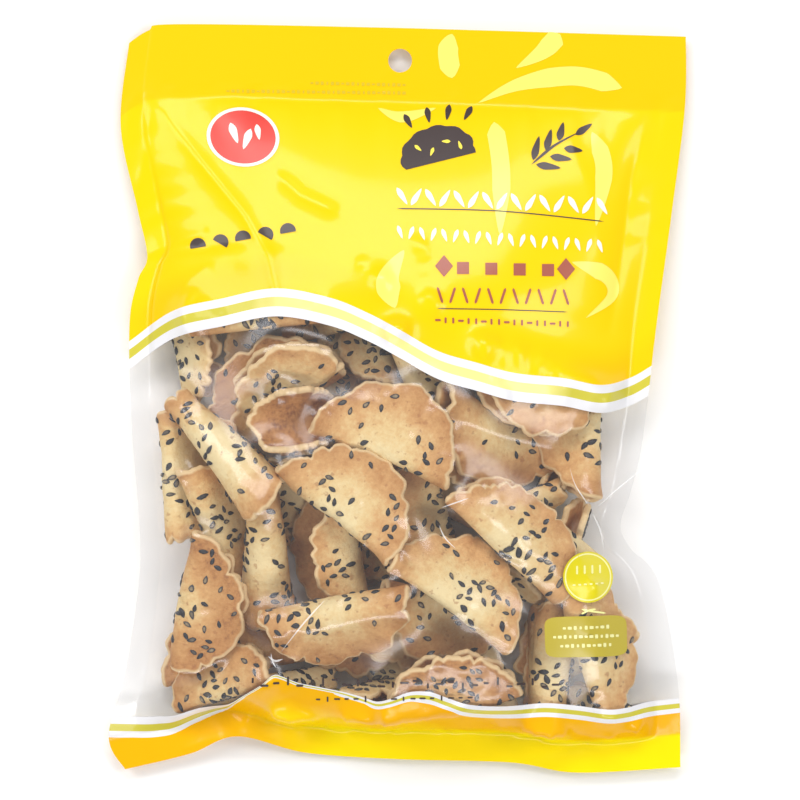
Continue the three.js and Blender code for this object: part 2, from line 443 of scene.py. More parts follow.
def filmSlope(x, y):
    # slope of the front film round a place
    reach = cracker["slopeReach"]
    gx = (readRaster(rasterFront, x + reach, y) - readRaster(rasterFront, x - reach, y)) / (2 * reach)
    gy = (readRaster(rasterFront, x, y + reach) - readRaster(rasterFront, x, y - reach)) / (2 * reach)
    return np.array([float(gx), float(gy)])


def tipTo(slope):
    # the turn that brings a level face to that slope, about the axis square to it
    normal = np.array([-slope[0], -slope[1], 1.0])
    normal /= np.linalg.norm(normal)
    axis = np.array([-normal[1], normal[0], 0.0])
    sine = np.linalg.norm(axis)
    if sine < 1e-6:
        return np.eye(3)
    k = axis / sine
    cross = np.array([[0, -k[2], k[1]], [k[2], 0, -k[0]], [-k[1], k[0], 0]])
    return np.eye(3) + sine * cross + (1 - normal[2]) * cross @ cross


def describeCracker(spec, rng):
    # a cracker's own waves, blisters, notches and tone
    c = dict(crackerDefaults, **spec)
    c["waves"] = tuple(rng.integers(least, most) for least, most in relief["waveOrders"])
    c["phase"] = rng.uniform(0, 2 * np.pi, 6)
    count, reach = relief["blisters"], relief["blisterReach"]
    c["blisters"] = np.stack([rng.uniform(-reach, reach, count), rng.uniform(-reach, reach, count),
                              rng.uniform(*relief["blisterWidth"], count),
                              cracker["blister"] * rng.uniform(*relief["blisterLift"], count)], axis=1)
    steps = relief["notchStep"] + rng.exponential(1.0, cracker["notches"])
    low, high = cracker["notchDepth"]
    c["notchAt"] = 2 * np.pi * np.cumsum(steps) / steps.sum()
    c["notchDepth"] = low + (high - low) * rng.uniform(0, 1, cracker["notches"]) ** relief["notchPower"]
    c["notchWidth"] = rng.uniform(*cracker["notchWidth"], cracker["notches"])
    c["pinch"] = cracker["crimp"] * c["ruffle"] * rng.uniform(-1, 1, cracker["notches"])
    c["lobes"] = [(rng.integers(least, most), lift, rng.uniform(0, relief["lobePhase"]))
                  for least, most, lift in relief["lobes"]]
    c["tone"] = rng.uniform(-1, 1) + c["brown"]
    return c


def flatten(cell, heights, size, lowest):
    # the highest (or lowest) of the points in each cell
    found = np.full(size, raster["none"] if lowest else -raster["none"])
    (np.minimum if lowest else np.maximum).at(found, cell, heights)
    return found


# How a place is found for a cracker, in millimetres and degrees.
search = {
    "cloud": 27,  # half the width of the grid of points that stands for a cracker
    "cloudRim": 0.8,  # added to its outline
    "cloudSkin": 0.1,  # and to each face
    "rounds": ((1.0, 110), (0.35, 60), (0.12, 40)),  # share of the reach, and poses tried
    "sizes": (1.0, 0.86, 0.74),  # tried in turn until one has room
    "leastRoom": -2.2,  # crackers may cross by this much in height
    "midBand": 7,  # each side of the middle, where the silhouette's edge is read
    "contact": 1.5,  # percent of the points that may pass a ceiling
    "clearance": 0.3,
    "sealCost": 0.8,  # room lost for each cell that lies on a seal
    "noRoomCost": 20,
    "nestingCost": 1.6,  # these four keep a cracker near the picture's place
    "tiltCost": 2.5,
    "shiftCost": 0.4,
    "twistCost": 0.06,
    "rollCost": 0.04,
    "coverOpen": 0.05,  # and these three let a loose one close the gaps
    "coverHeight": 0.2,
    "coverNesting": 1.0,
    "pixelLevel": 34,  # height of the plane on which fold lines are read
    "strict": 13,  # the first so many move half as far
    "strictFreedom": 0.5,
    "looseFreedom": (1, 1, 2.5, 2.5, 3, 2),
    "looseSize": (0.6, 0.95),
    "looseFold": (80, 90),
    "looseBend": (2.2, 3.2),
    "looseRoll": (60, 84, 100, 150),
    "openingSteps": 6,
    "openingChance": (0.3, 1),
    "floorSink": 4,
    "floorLeast": 1.2,
    "openSide": 78,
}


def sheetPoints(c):
    # both faces of a bent cracker as a cloud of points
    side = np.arange(-search["cloud"], search["cloud"] + 0.1, raster["pitch"])
    p, q = (a.ravel() for a in np.meshgrid(side, side))
    edge = rimRadius(np.arctan2(q, p), c) + search["cloudRim"]
    inside = np.hypot(p, q) < np.minimum(cracker["radius"] * c["size"], edge)
    p, q = p[inside], q[inside]
    half = cracker["thick"] / 2 + search["cloudSkin"]
    middle = discRelief(p, q, c)
    return np.vstack([bendDisc(p, q, middle + half, c), bendDisc(p, q, middle - half, c)])


def tryPose(flat, c, trial, ceilings, floor):
    # one way of laying a cracker: turned to its fold line, tipped to the film's slope and the
    # trial's, shifted, and lifted as far as each of the ceilings lets it
    along, left = c["along"], c["left"]
    turned = (rotation(2, c["turn"] + trial[4]) @ rotation(1, -c["lean"])
              @ rotation(0, c["roll"] + trial[5]))
    pose = tipTo(c["slope"] + trial[:2]) @ turned
    shell = flat @ pose.T
    across = shell[:, :2] @ left
    down = shell[:, :2] @ along
    centre = (down.min() + down.max()) / 2
    if c["edge"]:
        silhouette = across[np.abs(down - centre) < search["midBand"]].min()
    else:
        silhouette = (across.min() + across.max()) / 2
    shift = c["middle"] + trial[2:4] - centre * along - silhouette * left
    shell = shell + [*shift, 0.0]
    rows, columns = cellOf(shell[:, 0], shell[:, 1])
    cell = rows * len(rasterX) + columns
    top = flatten(cell, shell[:, 2], floor.size, False)
    under = flatten(cell, shell[:, 2], floor.size, True)
    hit = np.nonzero(top > -raster["none"] / 10)[0]
    top, under = top[hit], under[hit]
    lifts = np.percentile(ceilings[:, hit] - top, search["contact"], axis=1) - c["sink"]
    least = (under - floor[hit]).min()
    fits = np.nonzero(lifts + least > search["clearance"])[0]
    level = fits[0] if len(fits) else len(lifts) - 1
    room = lifts[level] + least
    lift = lifts[level] + max(0.0, -room)
    return dict(pose=pose, shift=np.array([*shift, lift]), hit=hit, top=top + lift, under=under + lift,
                level=level, room=room - search["sealCost"] * onSeal[hit].sum())


def heightScore(found, trial, openCells):
    # near the viewer, nested as little as can be and not far from the place asked for
    return (found["top"].mean() + found["shift"][2] - search["nestingCost"] * found["level"]
            + search["noRoomCost"] * min(0.0, found["room"]) - search["tiltCost"] * np.hypot(*trial[:2])
            - search["shiftCost"] * np.hypot(*trial[2:4]) - search["twistCost"] * abs(trial[4])
            - search["rollCost"] * abs(trial[5]))


def coverScore(found, trial, openCells):
    # closes as much of the open area as it can, high up
    return (openCells[found["hit"]].sum() * search["coverOpen"] + search["coverHeight"] * found["top"].mean()
            - search["coverNesting"] * found["level"] + search["noRoomCost"] * min(0.0, found["room"]))


def settleCracker(c, rng, ceilings, floor, score, openCells):
    # a wide random search and two narrower ones round the best so far
    flat = sheetPoints(c)
    best = None
    centre = np.zeros(6)
    for share, tries in search["rounds"]:
        trials = centre + rng.uniform(-1, 1, (tries, 6)) * cracker["reach"] * share * c["freedom"]
        for trial in np.vstack([centre, trials]):
            found = tryPose(flat, c, trial, ceilings, floor)
            value = score(found, trial, openCells)
            if best is None or value > best[0]:
                best = (value, trial, found)
        centre = best[1]
    return best[2]


def neighbours(z):
    # mean of the four neighbours, edges repeated
    padded = np.pad(z, 1, mode="edge")
    return (padded[:-2, 1:-1] + padded[2:, 1:-1] + padded[1:-1, :-2] + padded[1:-1, 2:]) / 4


def widestOpening(openCells, rng):
    # the open cell with most open cells round it, more or less
    width = openCells.reshape(gridX.shape).astype(float)
    for _ in range(search["openingSteps"]):
        width = neighbours(width)
    width = width.ravel() * openCells * rng.uniform(*search["openingChance"], openCells.size)
    return np.array([width.argmax()])


def settleCrackers(seed):
    # Front to back: each cracker goes as near the viewer as those in front of it allow. ceilings has
    # one ceiling for each nesting depth: the film, or the underside of a cracker, but no deeper
    # than that depth below its face. The widest one that still leaves room over the back film wins.
    rng = np.random.default_rng(seed)
    fillU = 0.5 + (rasterU - 0.5) * cracker["fill"]
    fillV = 0.5 + (rasterV - 0.5) * cracker["fill"]
    film = bagHeights(fillU, fillV, gridX)[0]
    floor = np.maximum(rasterBack - search["floorSink"], search["floorLeast"]).ravel()
    depths = cracker["nesting"]
    ceilings = np.tile((film - cracker["filmGap"]).ravel(), (len(depths), 1))
    openCells = windowCells(search["openSide"])
    lowest = np.full(floor.size, raster["none"])
    settled = []
    for number in range(len(crackerPlaces) + cracker["fillers"]):
        byHand = number < len(crackerPlaces)
        if not byHand and not openCells.any():
            break
        for share in search["sizes"]:
            if byHand:
                spec = dict(crackerDefaults, **crackerPlaces[number])
                spec.update(size=spec["size"] * share, bend=spec["bend"] * share)
                c = describeCracker(spec, rng)
                start, end = (np.array(placeOfPixel(pixel, search["pixelLevel"]))
                              for pixel in c["spine"])
                c["along"] = (end - start) / np.linalg.norm(end - start)
                c["middle"] = (start + end) / 2
                score = heightScore
                c["freedom"] = search["strictFreedom"] if number < search["strict"] else 1.0
            else:
                opening = widestOpening(openCells, rng)
                c = looseCracker(rng, opening, rng.uniform(*search["looseSize"]) * share)
                score = coverScore
                c["freedom"] = np.array(search["looseFreedom"])
            orient(c)
            found = settleCracker(c, rng, ceilings, floor, score, openCells)
            if found["room"] > search["leastRoom"]:
                break
        else:
            continue
        c.update(pose=found["pose"], shift=found["shift"])
        hit = found["hit"]
        for k, depth in enumerate(depths):
            step = np.maximum(found["under"] - cracker["gap"], found["top"] - depth)
            ceilings[k, hit] = np.minimum(ceilings[k, hit], step)
        lowest[hit] = np.minimum(lowest[hit], found["under"])
        openCells[hit] = False
        settled.append(c)
    return settled + bedCrackers(rng, lowest, openCells)


def orient(c):
    # which way is left of the fold line, the heading in degrees, and the slope of the film above
    c["left"] = np.array([-c["along"][1], c["along"][0]])
    c["turn"] = math.degrees(math.atan2(c["along"][1], c["along"][0]))
    c["slope"] = filmSlope(*c["middle"]) * cracker["follow"]


def looseCracker(rng, cells, size, **changes):
    # a folded cracker at a random heading, over one of those cells
    spec = dict(slim, edge=0, fold=rng.uniform(*search["looseFold"]),
                bend=rng.uniform(*search["looseBend"]), size=size)
    c = describeCracker(dict(spec, **changes), rng)
    heap = cells[rng.integers(len(cells))]
    c["middle"] = np.array([gridX.ravel()[heap], gridY.ravel()[heap]])
    heading = rng.uniform(0, 2 * np.pi)
    c["along"] = np.array([math.cos(heading), math.sin(heading)])
    c["roll"] = rng.choice(search["looseRoll"])
    return c


# The last ones lie on the back film: folded crackers first, then broken halves.
bed = {
    "floorGap": 0.35,
    "filmGap": 0.6,
    "underFront": 2,  # kept below the front film where no cracker lies
    "side": 80,
    "need": (8.5, 4.5),  # height a folded one and a half ask for, in mm
    "tries": 70,
    "foldedSize": (0.8, 1.0),
    "foldedRoll": (86, 94),
    "halfSize": (0.85, 1.0),
    "halfBroken": (2.0, 9.0),
    "halfFold": 12.0,
    "halfBend": 90.0,
    "halfRoll": (0, 180),
    "tilt": 0.35,
    "contact": (99.5, 3),  # percent of the points that count below and above
    "sealCost": 0.3,
    "leastSpare": -0.8,
    "mostSpare": 1.0,
    "openWorth": 0.02,
    "insideWorth": 0.003,
}


def bedCrackers(rng, lowest, openCells):
    # back to front, where there is room below the others, each one where it closes most of the
    # open area
    back = np.maximum(rasterBack, bed["floorGap"]).ravel() + bed["filmGap"]
    unknown = lowest > raster["none"] / 10
    lowest = np.where(unknown, (rasterFront - bed["underFront"]).ravel(), lowest)
    inside = windowCells(bed["side"])
    level = np.zeros((1, back.size))
    bedded = []
    folded, halves = cracker["bedding"]
    for number in range(folded + halves):
        cells = np.nonzero(inside & (lowest - back > bed["need"][number >= folded]))[0]
        wanted = cells[openCells[cells]]
        if not len(cells):
            break
        best = None
        for attempt in range(bed["tries"]):
            near = wanted if len(wanted) and attempt % 4 else cells
            if number < folded:
                c = looseCracker(rng, near, rng.uniform(*bed["foldedSize"]))
                c["roll"] = rng.choice(bed["foldedRoll"])
            else:
                c = looseCracker(rng, near, rng.uniform(*bed["halfSize"]),
                                 broken=rng.uniform(*bed["halfBroken"]), fold=bed["halfFold"],
                                 bend=bed["halfBend"])
                c["roll"] = rng.choice(bed["halfRoll"])
            orient(c)
            c["slope"] = np.zeros(2)
            trial = np.concatenate([rng.uniform(-bed["tilt"], bed["tilt"], 2), np.zeros(4)])
            found = tryPose(sheetPoints(c), c, trial, level, back)
            hit = found["hit"]
            rise = np.percentile(back[hit] - found["under"], bed["contact"][0])
            spare = (np.percentile(lowest[hit] - found["top"] - rise, bed["contact"][1])
                     - bed["sealCost"] * onSeal[hit].sum())
            value = (min(spare, bed["mostSpare"]) + bed["openWorth"] * openCells[hit].sum()
                     + bed["insideWorth"] * inside[hit].sum())
            if spare > bed["leastSpare"] and (best is None or value > best[0]):
                best = (value, c, found, rise)
        if best is None:
            continue
        _, c, found, rise = best
        c.update(pose=found["pose"], shift=found["shift"] + [0, 0, rise])
        hit = found["hit"]
        back[hit] = np.maximum(back[hit], found["top"] + rise + cracker["gap"])
        openCells[hit] = False
        bedded.append(c)
    return bedded


placedCrackers = settleCrackers(7)
print("crackers settled:", len(placedCrackers))


def inPlace(points, c):
    # points of a cracker turned and shifted to where it settled
    return points @ c["pose"].T + c["shift"]


def joinParts(parts):
    # joins points, quads, triangles and fields of many shapes into one
    points, quads, tris, start = [], [], [], 0
    fields = {}
    for shape, four, three, values in parts:
        points.append(shape)
        quads.append(four + start)
        tris.append(three + start)
        for key, value in values.items():
            fields.setdefault(key, []).append(value)
        start += len(shape)
    faces = np.vstack(quads).tolist() + np.vstack(tris).tolist()
    return np.vstack(points), faces, {key: np.concatenate(value) for key, value in fields.items()}


def makeMesh(name, points, faces, fields):
    # one mesh object at the origin, with its place in its mesh; fields are numbers for each point
    mesh = bpy.data.meshes.new(name)
    mesh.from_pydata((points * mm).tolist(), [], faces)
    mesh.shade_smooth()
    for key, values in fields.items():
        layer = mesh.attributes.new(key, "FLOAT", "POINT")
        layer.data.foreach_set("value", np.asarray(values, dtype=np.float32))
    piece = bpy.data.objects.new(name, mesh)
    bpy.context.scene.collection.objects.link(piece)
    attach(piece, "root")
    return piece


sesame = {
    "along": (0.12, 0.35, 0.62, 0.86),  # shares of a seed's length
    "width": (0.62, 1.0, 0.86, 0.45),  # and of its width there
    "tips": (-0.45, 0.55),
    "sides": 8,
    "length": 3.1,
    "halfWidth": 0.8,
    "halfThick": 0.5,
    "sizes": (0.85, 1.12),
    "sunk": 0.05,  # mm that a seed's middle lies over the dough
    "reach": 0.9,  # share of the cracker's radius
    "clumpShare": 0.72,
    "clumpsAt": (8.5, 11.5),  # spread of the clumps across and along the fold line
    "clumpSpread": 3.2,
    "rimGap": 2.2,
    "apart": 2.1,
    "overlaps": 0.05,  # share of seeds that may lie on another
}


def seedShape():
    # a flat drop: a ring of points carried along the seed, widest before the middle
    sides = sesame["sides"]
    along, width = np.array(sesame["along"]), np.array(sesame["width"])
    turn = np.linspace(0, 2 * np.pi, sides, endpoint=False)
    a = (along[:, None] + sesame["tips"][0]) + np.zeros(sides)
    b = width[:, None] * np.cos(turn)
    c = width[:, None] * np.sin(turn)
    points = np.stack([a * sesame["length"], b * sesame["halfWidth"], c * sesame["halfThick"]],
                      axis=-1).reshape(-1, 3)
    tips = np.array([[tip * sesame["length"], 0, 0] for tip in sesame["tips"]])
    quads = gridFaces(len(along), sides, wrap=True)[:, ::-1]
    k = np.arange(sides)
    n = (k + 1) % sides
    first = len(points)
    last = first - sides
    fans = np.vstack([np.stack([k, n, np.full(sides, first)], axis=1),
                      np.stack([last + n, last + k, np.full(sides, first + 1)], axis=1)])
    return np.vstack([points, tips]), quads, fans


def scatterSeeds(c, rng):
    # seeds on the outer face: most in clumps near the fold, the rest anywhere, no two on one spot
    reach = cracker["radius"] * c["size"] * sesame["reach"]
    clumps = rng.normal(0, 1, (cracker["clumps"], 2)) * sesame["clumpsAt"]
    found = []
    while len(found) < cracker["seeds"]:
        if rng.random() < sesame["clumpShare"]:
            spot = clumps[rng.integers(len(clumps))] + rng.normal(0, sesame["clumpSpread"], 2)
        else:
            spot = reach * rng.uniform(-1, 1, 2)
        angle = np.array([math.atan2(spot[1], spot[0])])
        if np.hypot(*spot) > min(reach, rimRadius(angle, c)[0] - sesame["rimGap"]):
            continue
        clear = all(np.hypot(*(spot - other)) > sesame["apart"] for other in found)
        if clear or rng.random() < sesame["overlaps"]:
            found.append(spot)
    return np.array(found), rng.uniform(0, 2 * np.pi, cracker["seeds"])


def seedsOf(c, spots, turns, rng):
    # the seeds of one cracker, each turned flat on the disc, laid on its relief and bent with it
    size = rng.uniform(*sesame["sizes"], (len(spots), 1))
    a = shape[None, :, 0] * size
    b = shape[None, :, 1] * size
    p = spots[:, :1] + a * np.cos(turns)[:, None] - b * np.sin(turns)[:, None]
    q = spots[:, 1:] + a * np.sin(turns)[:, None] + b * np.cos(turns)[:, None]
    h = (cracker["thick"] / 2 + sesame["sunk"] + shape[None, :, 2]
         + discRelief(spots[:, :1], spots[:, 1:], c))
    points = bendDisc(p, q, h, c).reshape(-1, 3)
    step = np.arange(len(spots))[:, None, None] * len(shape)
    fields = {
        "shade": np.repeat(rng.uniform(0, 1, len(spots)), len(shape)),
        "crest": np.tile(shape[:, 2] / shape[:, 2].max(), len(spots)),
    }
    return (inPlace(points, c), (seedQuads[None] + step).reshape(-1, 4),
            (seedFans[None] + step).reshape(-1, 3), fields)


rng = np.random.default_rng(21)
shape, seedQuads, seedFans = seedShape()
groups = [placedCrackers[k::4] for k in range(4)]
crackerPieces = []
crackerParts = []
seedParts = []
for name, members in zip(("crackersA", "crackersB", "crackersC", "crackersD"), groups):
    parts = []
    for c in members:
        points, quads, tris, fields = crackerSurface(c)
        fields["tone"] = np.full(len(points), c["tone"])
        parts.append((inPlace(points, c), quads, tris, fields))
        spots, turns = scatterSeeds(c, rng)
        seedParts.append(seedsOf(c, spots, turns, rng))
    crackerPieces.append(makeMesh(name, *joinParts(parts)))
    crackerParts.extend(parts)
seedPiece = makeMesh("sesameSeeds", *joinParts(seedParts))
print("crackers made")


# The film is the bag's pillow form draped over the crackers.
film = {
    "columns": 221,
    "rows": 291,
    "clear": 0.45,  # mm kept between film and crackers
    "spread": 1,  # cells the crackers are widened by
    "tautness": 0.004,  # pull back to the pillow, over the contents
    "headPull": 0.03,  # and in the empty head of the bag
    "slack": 4.0,  # how far under the pillow the film may sink between crackers
    "steps": 500,
    "calm": 2,  # smoothings at the end
    "calmPress": 0.3,  # and how far they may press into the contents
    "headFrom": 12,  # mm up the bag from where nothing fills the film, and over how much
    "headOver": 26,
    "slackFull": 0.4,
    "low": 0.3,  # least height over the floor
    "backClear": (0.6, 3),  # the back's folds start this high and are whole this much higher
    "edgeThin": (0.3, 20),  # the seals' thickness at the outline, and how soon it is whole
    "foldEnds": (0.25, 0.2),  # share of a fold's length over which its ends fade
    "foldRest": 0.25,
    "foldRound": 0.4,
    "waves": 5,
    "waveSpread": (0.6, 1.7),
    "pucker": 0.2,  # waves beside the seals
    "puckerWidth": 7.0,
    "printPitch": 0.95,
    "printColumns": 211,
    "sealBlur": 0.8,
    "holeAt": (0.7, 114.0),
    "holeRadius": 4.0,
    "holeRings": (4, 12),  # of grid points: the hole's own, and the last one that is moved
    "holeFade": 14,
}

# Folds by the picture's pixels: where they run, height (valleys are negative) and width.
frontFolds = [
    ([(150, 95), (200, 160), (245, 215), (268, 255), (276, 292), (277, 318)], 2.4, 3.2),
    ([(272, 170), (300, 195), (342, 214)], -1.2, 3.0),
    ([(143, 256), (180, 240), (215, 232)], 1.4, 4.0),
    ([(150, 100), (146, 150), (138, 200)], 0.8, 2.4),
    ([(160, 330), (188, 280), (215, 262)], 0.8, 3.0),
    ([(645, 120), (632, 180), (622, 250), (610, 330)], -1.8, 4.0),
    ([(664, 118), (652, 190), (642, 270), (633, 350)], 0.9, 2.2),
    ([(560, 120), (590, 190), (600, 260)], 0.7, 5.0),
    ([(273, 676), (258, 700), (237, 736)], 2.6, 5.0),
    ([(285, 690), (300, 712), (330, 735)], -1.6, 4.0),
    ([(312, 698), (330, 722), (362, 744)], 0.9, 2.2),
    ([(395, 712), (450, 724), (520, 733), (600, 739), (680, 735)], 1.3, 2.6),
    ([(180, 752), (205, 742), (228, 738)], 0.8, 2.5),
    ([(520, 765), (548, 752), (600, 745)], 0.7, 2.0),
    ([(596, 512), (612, 545), (628, 600)], 0.9, 1.6),
    ([(598, 508), (630, 490), (655, 466)], 1.0, 1.6),
    ([(594, 505), (580, 480), (566, 455)], 0.7, 1.4),
    ([(592, 508), (588, 480), (592, 440)], 0.6, 1.4),
    ([(600, 515), (618, 524), (640, 528)], 0.8, 1.8),
    ([(432, 408), (500, 436), (582, 458)], 3.0, 10.0),
]
backFolds = [
    ([(250, 120), (290, 220), (300, 320)], -1.6, 3.5),
    ([(560, 160), (540, 260), (560, 340)], -1.4, 3.5),
    ([(400, 560), (440, 660), (430, 730)], -1.2, 4.0),
]


def filmRasters(parts):
    # highest and lowest of all cracker points over each millimetre
    points = np.vstack([part[0] for part in parts])
    rows, columns = cellOf(points[:, 0], points[:, 1])
    cell = rows * len(rasterX) + columns
    size = gridX.size
    return (flatten(cell, points[:, 2], size, False).reshape(gridX.shape),
            flatten(cell, points[:, 2], size, True).reshape(gridX.shape))


def widened(values, spread, lowest):
    # each cell takes the highest (or lowest) of its neighbours, spread times over
    pick = np.minimum if lowest else np.maximum
    for _ in range(spread):
        for axis in (0, 1):
            values = pick(values, pick(np.roll(values, 1, axis), np.roll(values, -1, axis)))
    return values


def drape(pillow, target, pull, held, obstacle, sign):
    # the film takes the mean of its neighbours, drawn to the target and kept off the obstacle
    z = pillow.copy()
    for _ in range(film["steps"]):
        z = (neighbours(z) + pull * target) / (1 + pull)
        z = np.maximum(z, obstacle) if sign > 0 else np.minimum(z, obstacle)
        z[held] = pillow[held]
    press = film["calmPress"]
    for _ in range(film["calm"]):
        z = np.where(held, z, (z + neighbours(z)) / 2)
        z = np.maximum(z, obstacle - press) if sign > 0 else np.minimum(z, obstacle + press)
    return z


def onFilm(pixels):
    # where the sight lines of those pixels meet the front film, in mm
    pixels = np.asarray(pixels, float)
    px, py = pixels[..., 0], pixels[..., 1]
    x, y = placeOfPixel((px, py))
    for _ in range(3):
        x, y = placeOfPixel((px, py), readRaster(rasterFront, x, y))
    return np.stack([x, y], axis=-1)


def foldRelief(x, y, folds):
    # each fold adds its height times exp(-distance / width), less towards its two ends
    rest = film["foldRest"]
    total = np.zeros_like(x)
    for pixels, lift, width in folds:
        line = onFilm(pixels)
        nearest = np.full(x.shape, raster["none"])
        where = np.zeros_like(x)
        count = len(line) - 1
        for k in range(count):
            a, step = line[k], line[k + 1] - line[k]
            t = np.clip(((x - a[0]) * step[0] + (y - a[1]) * step[1]) / (step @ step), 0, 1)
            away = np.hypot(x - a[0] - t * step[0], y - a[1] - t * step[1])
            closer = away < nearest
            nearest = np.where(closer, away, nearest)
            where = np.where(closer, (k + t) / count, where)
        fade = smooth(where / film["foldEnds"][0]) * smooth((1 - where) / film["foldEnds"][1])
        away = np.sqrt(nearest ** 2 + film["foldRound"])
        total += lift * np.exp(-away / width) * (rest + (1 - rest) * fade)
    return total


def unevenWave(s, seed, pitch):
    # sum of sines round the same pitch, about 1 high
    rng = np.random.default_rng(seed)
    total = 0
    for _ in range(film["waves"]):
        length = pitch * rng.uniform(*film["waveSpread"])
        total = total + np.sin(2 * np.pi * s / length + rng.uniform(0, 6.28))
    return total / (film["waves"] / 2)


def puckers(u, v, seed):
    # waves along each seal that die away into the bag
    width = film["puckerWidth"]
    across = np.minimum(u, 1 - u) * bag["flatWidth"] - bag["sideSeal"]
    down = (headerShare - v) * bag["flatLength"]
    up = (v - bottomShare) * bag["flatLength"]
    long, wide = v * bag["flatLength"], u * bag["flatWidth"]
    side = np.where(u < 0.5, unevenWave(long, seed, 11.0), unevenWave(long, seed + 1, 10.0))
    side = side * np.maximum(0, unevenWave(long, seed + 4, 60.0))
    total = side * np.exp(-np.abs(across - 2) / width)
    total += 1.3 * unevenWave(wide, seed + 2, 13.0) * np.exp(-np.abs(down - 3) / width) * (down > -4)
    total += unevenWave(wide, seed + 3, 10.0) * np.exp(-np.abs(up - 2) / width)
    return film["pucker"] * total


crackerTop, crackerUnder = filmRasters(crackerParts + seedParts)
crackerTop = widened(crackerTop, film["spread"], False) + film["clear"]
crackerUnder = widened(crackerUnder, film["spread"], True) - film["clear"]
filmU, filmV = np.meshgrid(np.linspace(0, 1, film["columns"]), np.linspace(0, 1, film["rows"]))
filmX, filmY = placeAt(filmU, filmV)
pillowFront, pillowBack, filmFull = bagHeights(filmU, filmV, filmX)
held = filmFull <= 0
headSpace = smooth((filmY - film["headFrom"]) / film["headOver"])
pull = film["tautness"] + (film["headPull"] - film["tautness"]) * headSpace
slack = film["slack"] * (1 - headSpace) * smooth(filmFull / film["slackFull"])
topAt = readRaster(crackerTop, filmX, filmY)
underAt = np.maximum(readRaster(crackerUnder, filmX, filmY), film["low"])
farOff = 99
frontZ = drape(pillowFront, pillowFront - slack, pull, held, np.where(held, -farOff, topAt), 1)
backZ = drape(pillowBack, pillowBack, pull, held, np.where(held, farOff, underAt), -1)
frontZ += foldRelief(filmX, filmY, frontFolds) + puckers(filmU, filmV, 5)
frontZ = np.where(held, frontZ, np.maximum(frontZ, topAt - 0.1))
liftOff = smooth((backZ - film["backClear"][0]) / film["backClear"][1])
backZ += (foldRelief(filmX, filmY, backFolds) + puckers(filmU, filmV, 11)) * liftOff
toEdge = np.minimum(np.minimum(filmU, 1 - filmU), np.minimum(filmV, 1 - filmV))
lie = bag["sealThick"] * np.minimum(1, film["edgeThin"][0] + film["edgeThin"][1] * toEdge)
frontZ = np.maximum(frontZ, film["low"] + lie)
backZ = np.clip(backZ, film["low"], frontZ - lie)
print("film draped, highest", round(float(frontZ.max()), 1))


def readFilm(z, u, v):
    # bilinear reading of a height on the film by its shares across and along
    fx = np.clip(u, 0, 1) * (film["columns"] - 1)
    fy = np.clip(v, 0, 1) * (film["rows"] - 1)
    i = np.minimum(fx.astype(int), film["columns"] - 2)
    j = np.minimum(fy.astype(int), film["rows"] - 2)
    a, b = fx - i, fy - j
    return ((z[j, i] * (1 - a) + z[j, i + 1] * a) * (1 - b)
            + (z[j + 1, i] * (1 - a) + z[j + 1, i + 1] * a) * b)


# The yellow's lower edge on the head of the bag and upper edge on its base, in the picture.
headEdge = [(108, 356), (131.6, 339.7), (172.7, 311), (222, 298.5), (276, 288.4), (329.6, 297.6),
            (367.8, 312.9), (400, 330), (438, 351), (476.5, 362.6), (514.8, 373), (562.6, 378),
            (601, 385), (629.6, 378), (650.6, 366.4), (670, 354)]
baseEdge = [(95, 737), (140, 737.5), (160, 736.5), (175, 733), (195, 723), (215, 714), (228, 708.6),
            (240, 700), (262, 685), (273, 676), (281, 677), (298, 684), (320, 690), (345, 697),
            (365, 704), (377, 708), (390, 706), (410, 701), (430, 703), (447, 709), (470, 716),
            (508, 718), (545, 716), (577, 719), (607, 722.5), (627, 721), (650, 716), (690, 711)]
# how deep the base's stripes show above its yellow, in pixels
baseStripe = [(95, 22), (160, 21), (200, 14), (235, 3), (262, 0.8), (298, 0.8), (330, 3), (363, 6),
              (395, 8), (430, 12), (508, 13), (607, 14), (650, 15), (690, 14)]
headStripe = 28  # pixels, all three stripes
pixelSize = 0.333  # mm
boundary = {
    "steps": 30,
    "step": 260,  # mm that a step takes the whole length of the bag for
    "baseRow": 700,  # pixel row and height where baseStripe's columns are read
    "baseLevel": 15,
    "leastDeep": 0.3,
}


def edgeLine(pixels):
    # the smooth line through those pixels, laid on the film, as y for each x
    line = onFilm(splineTable(pixels, 12)[1])
    order = np.argsort(line[:, 0])
    return line[order, 0], line[order, 1]


def shareOfEdge(u, line, higher):
    # v where the column u of the film crosses the line y = f(x) + higher, stepped along the column
    v = np.full_like(u, 0.5)
    for _ in range(boundary["steps"]):
        x, y = placeAt(u, v)
        v = np.clip(v + (np.interp(x, *line) + np.interp(x, *higher) - y) / boundary["step"], 0, 1)
    return v


headLine = edgeLine(headEdge)
baseLine = edgeLine(baseEdge)
headDeep = (np.array([-100.0, 100.0]), np.array([headStripe, headStripe]) * -pixelSize)
baseStripeX = np.array([placeOfPixel((column, boundary["baseRow"]), boundary["baseLevel"])[0]
                        for column, _ in baseStripe])
baseDeep = (baseStripeX, np.array([deep for _, deep in baseStripe]) * pixelSize)


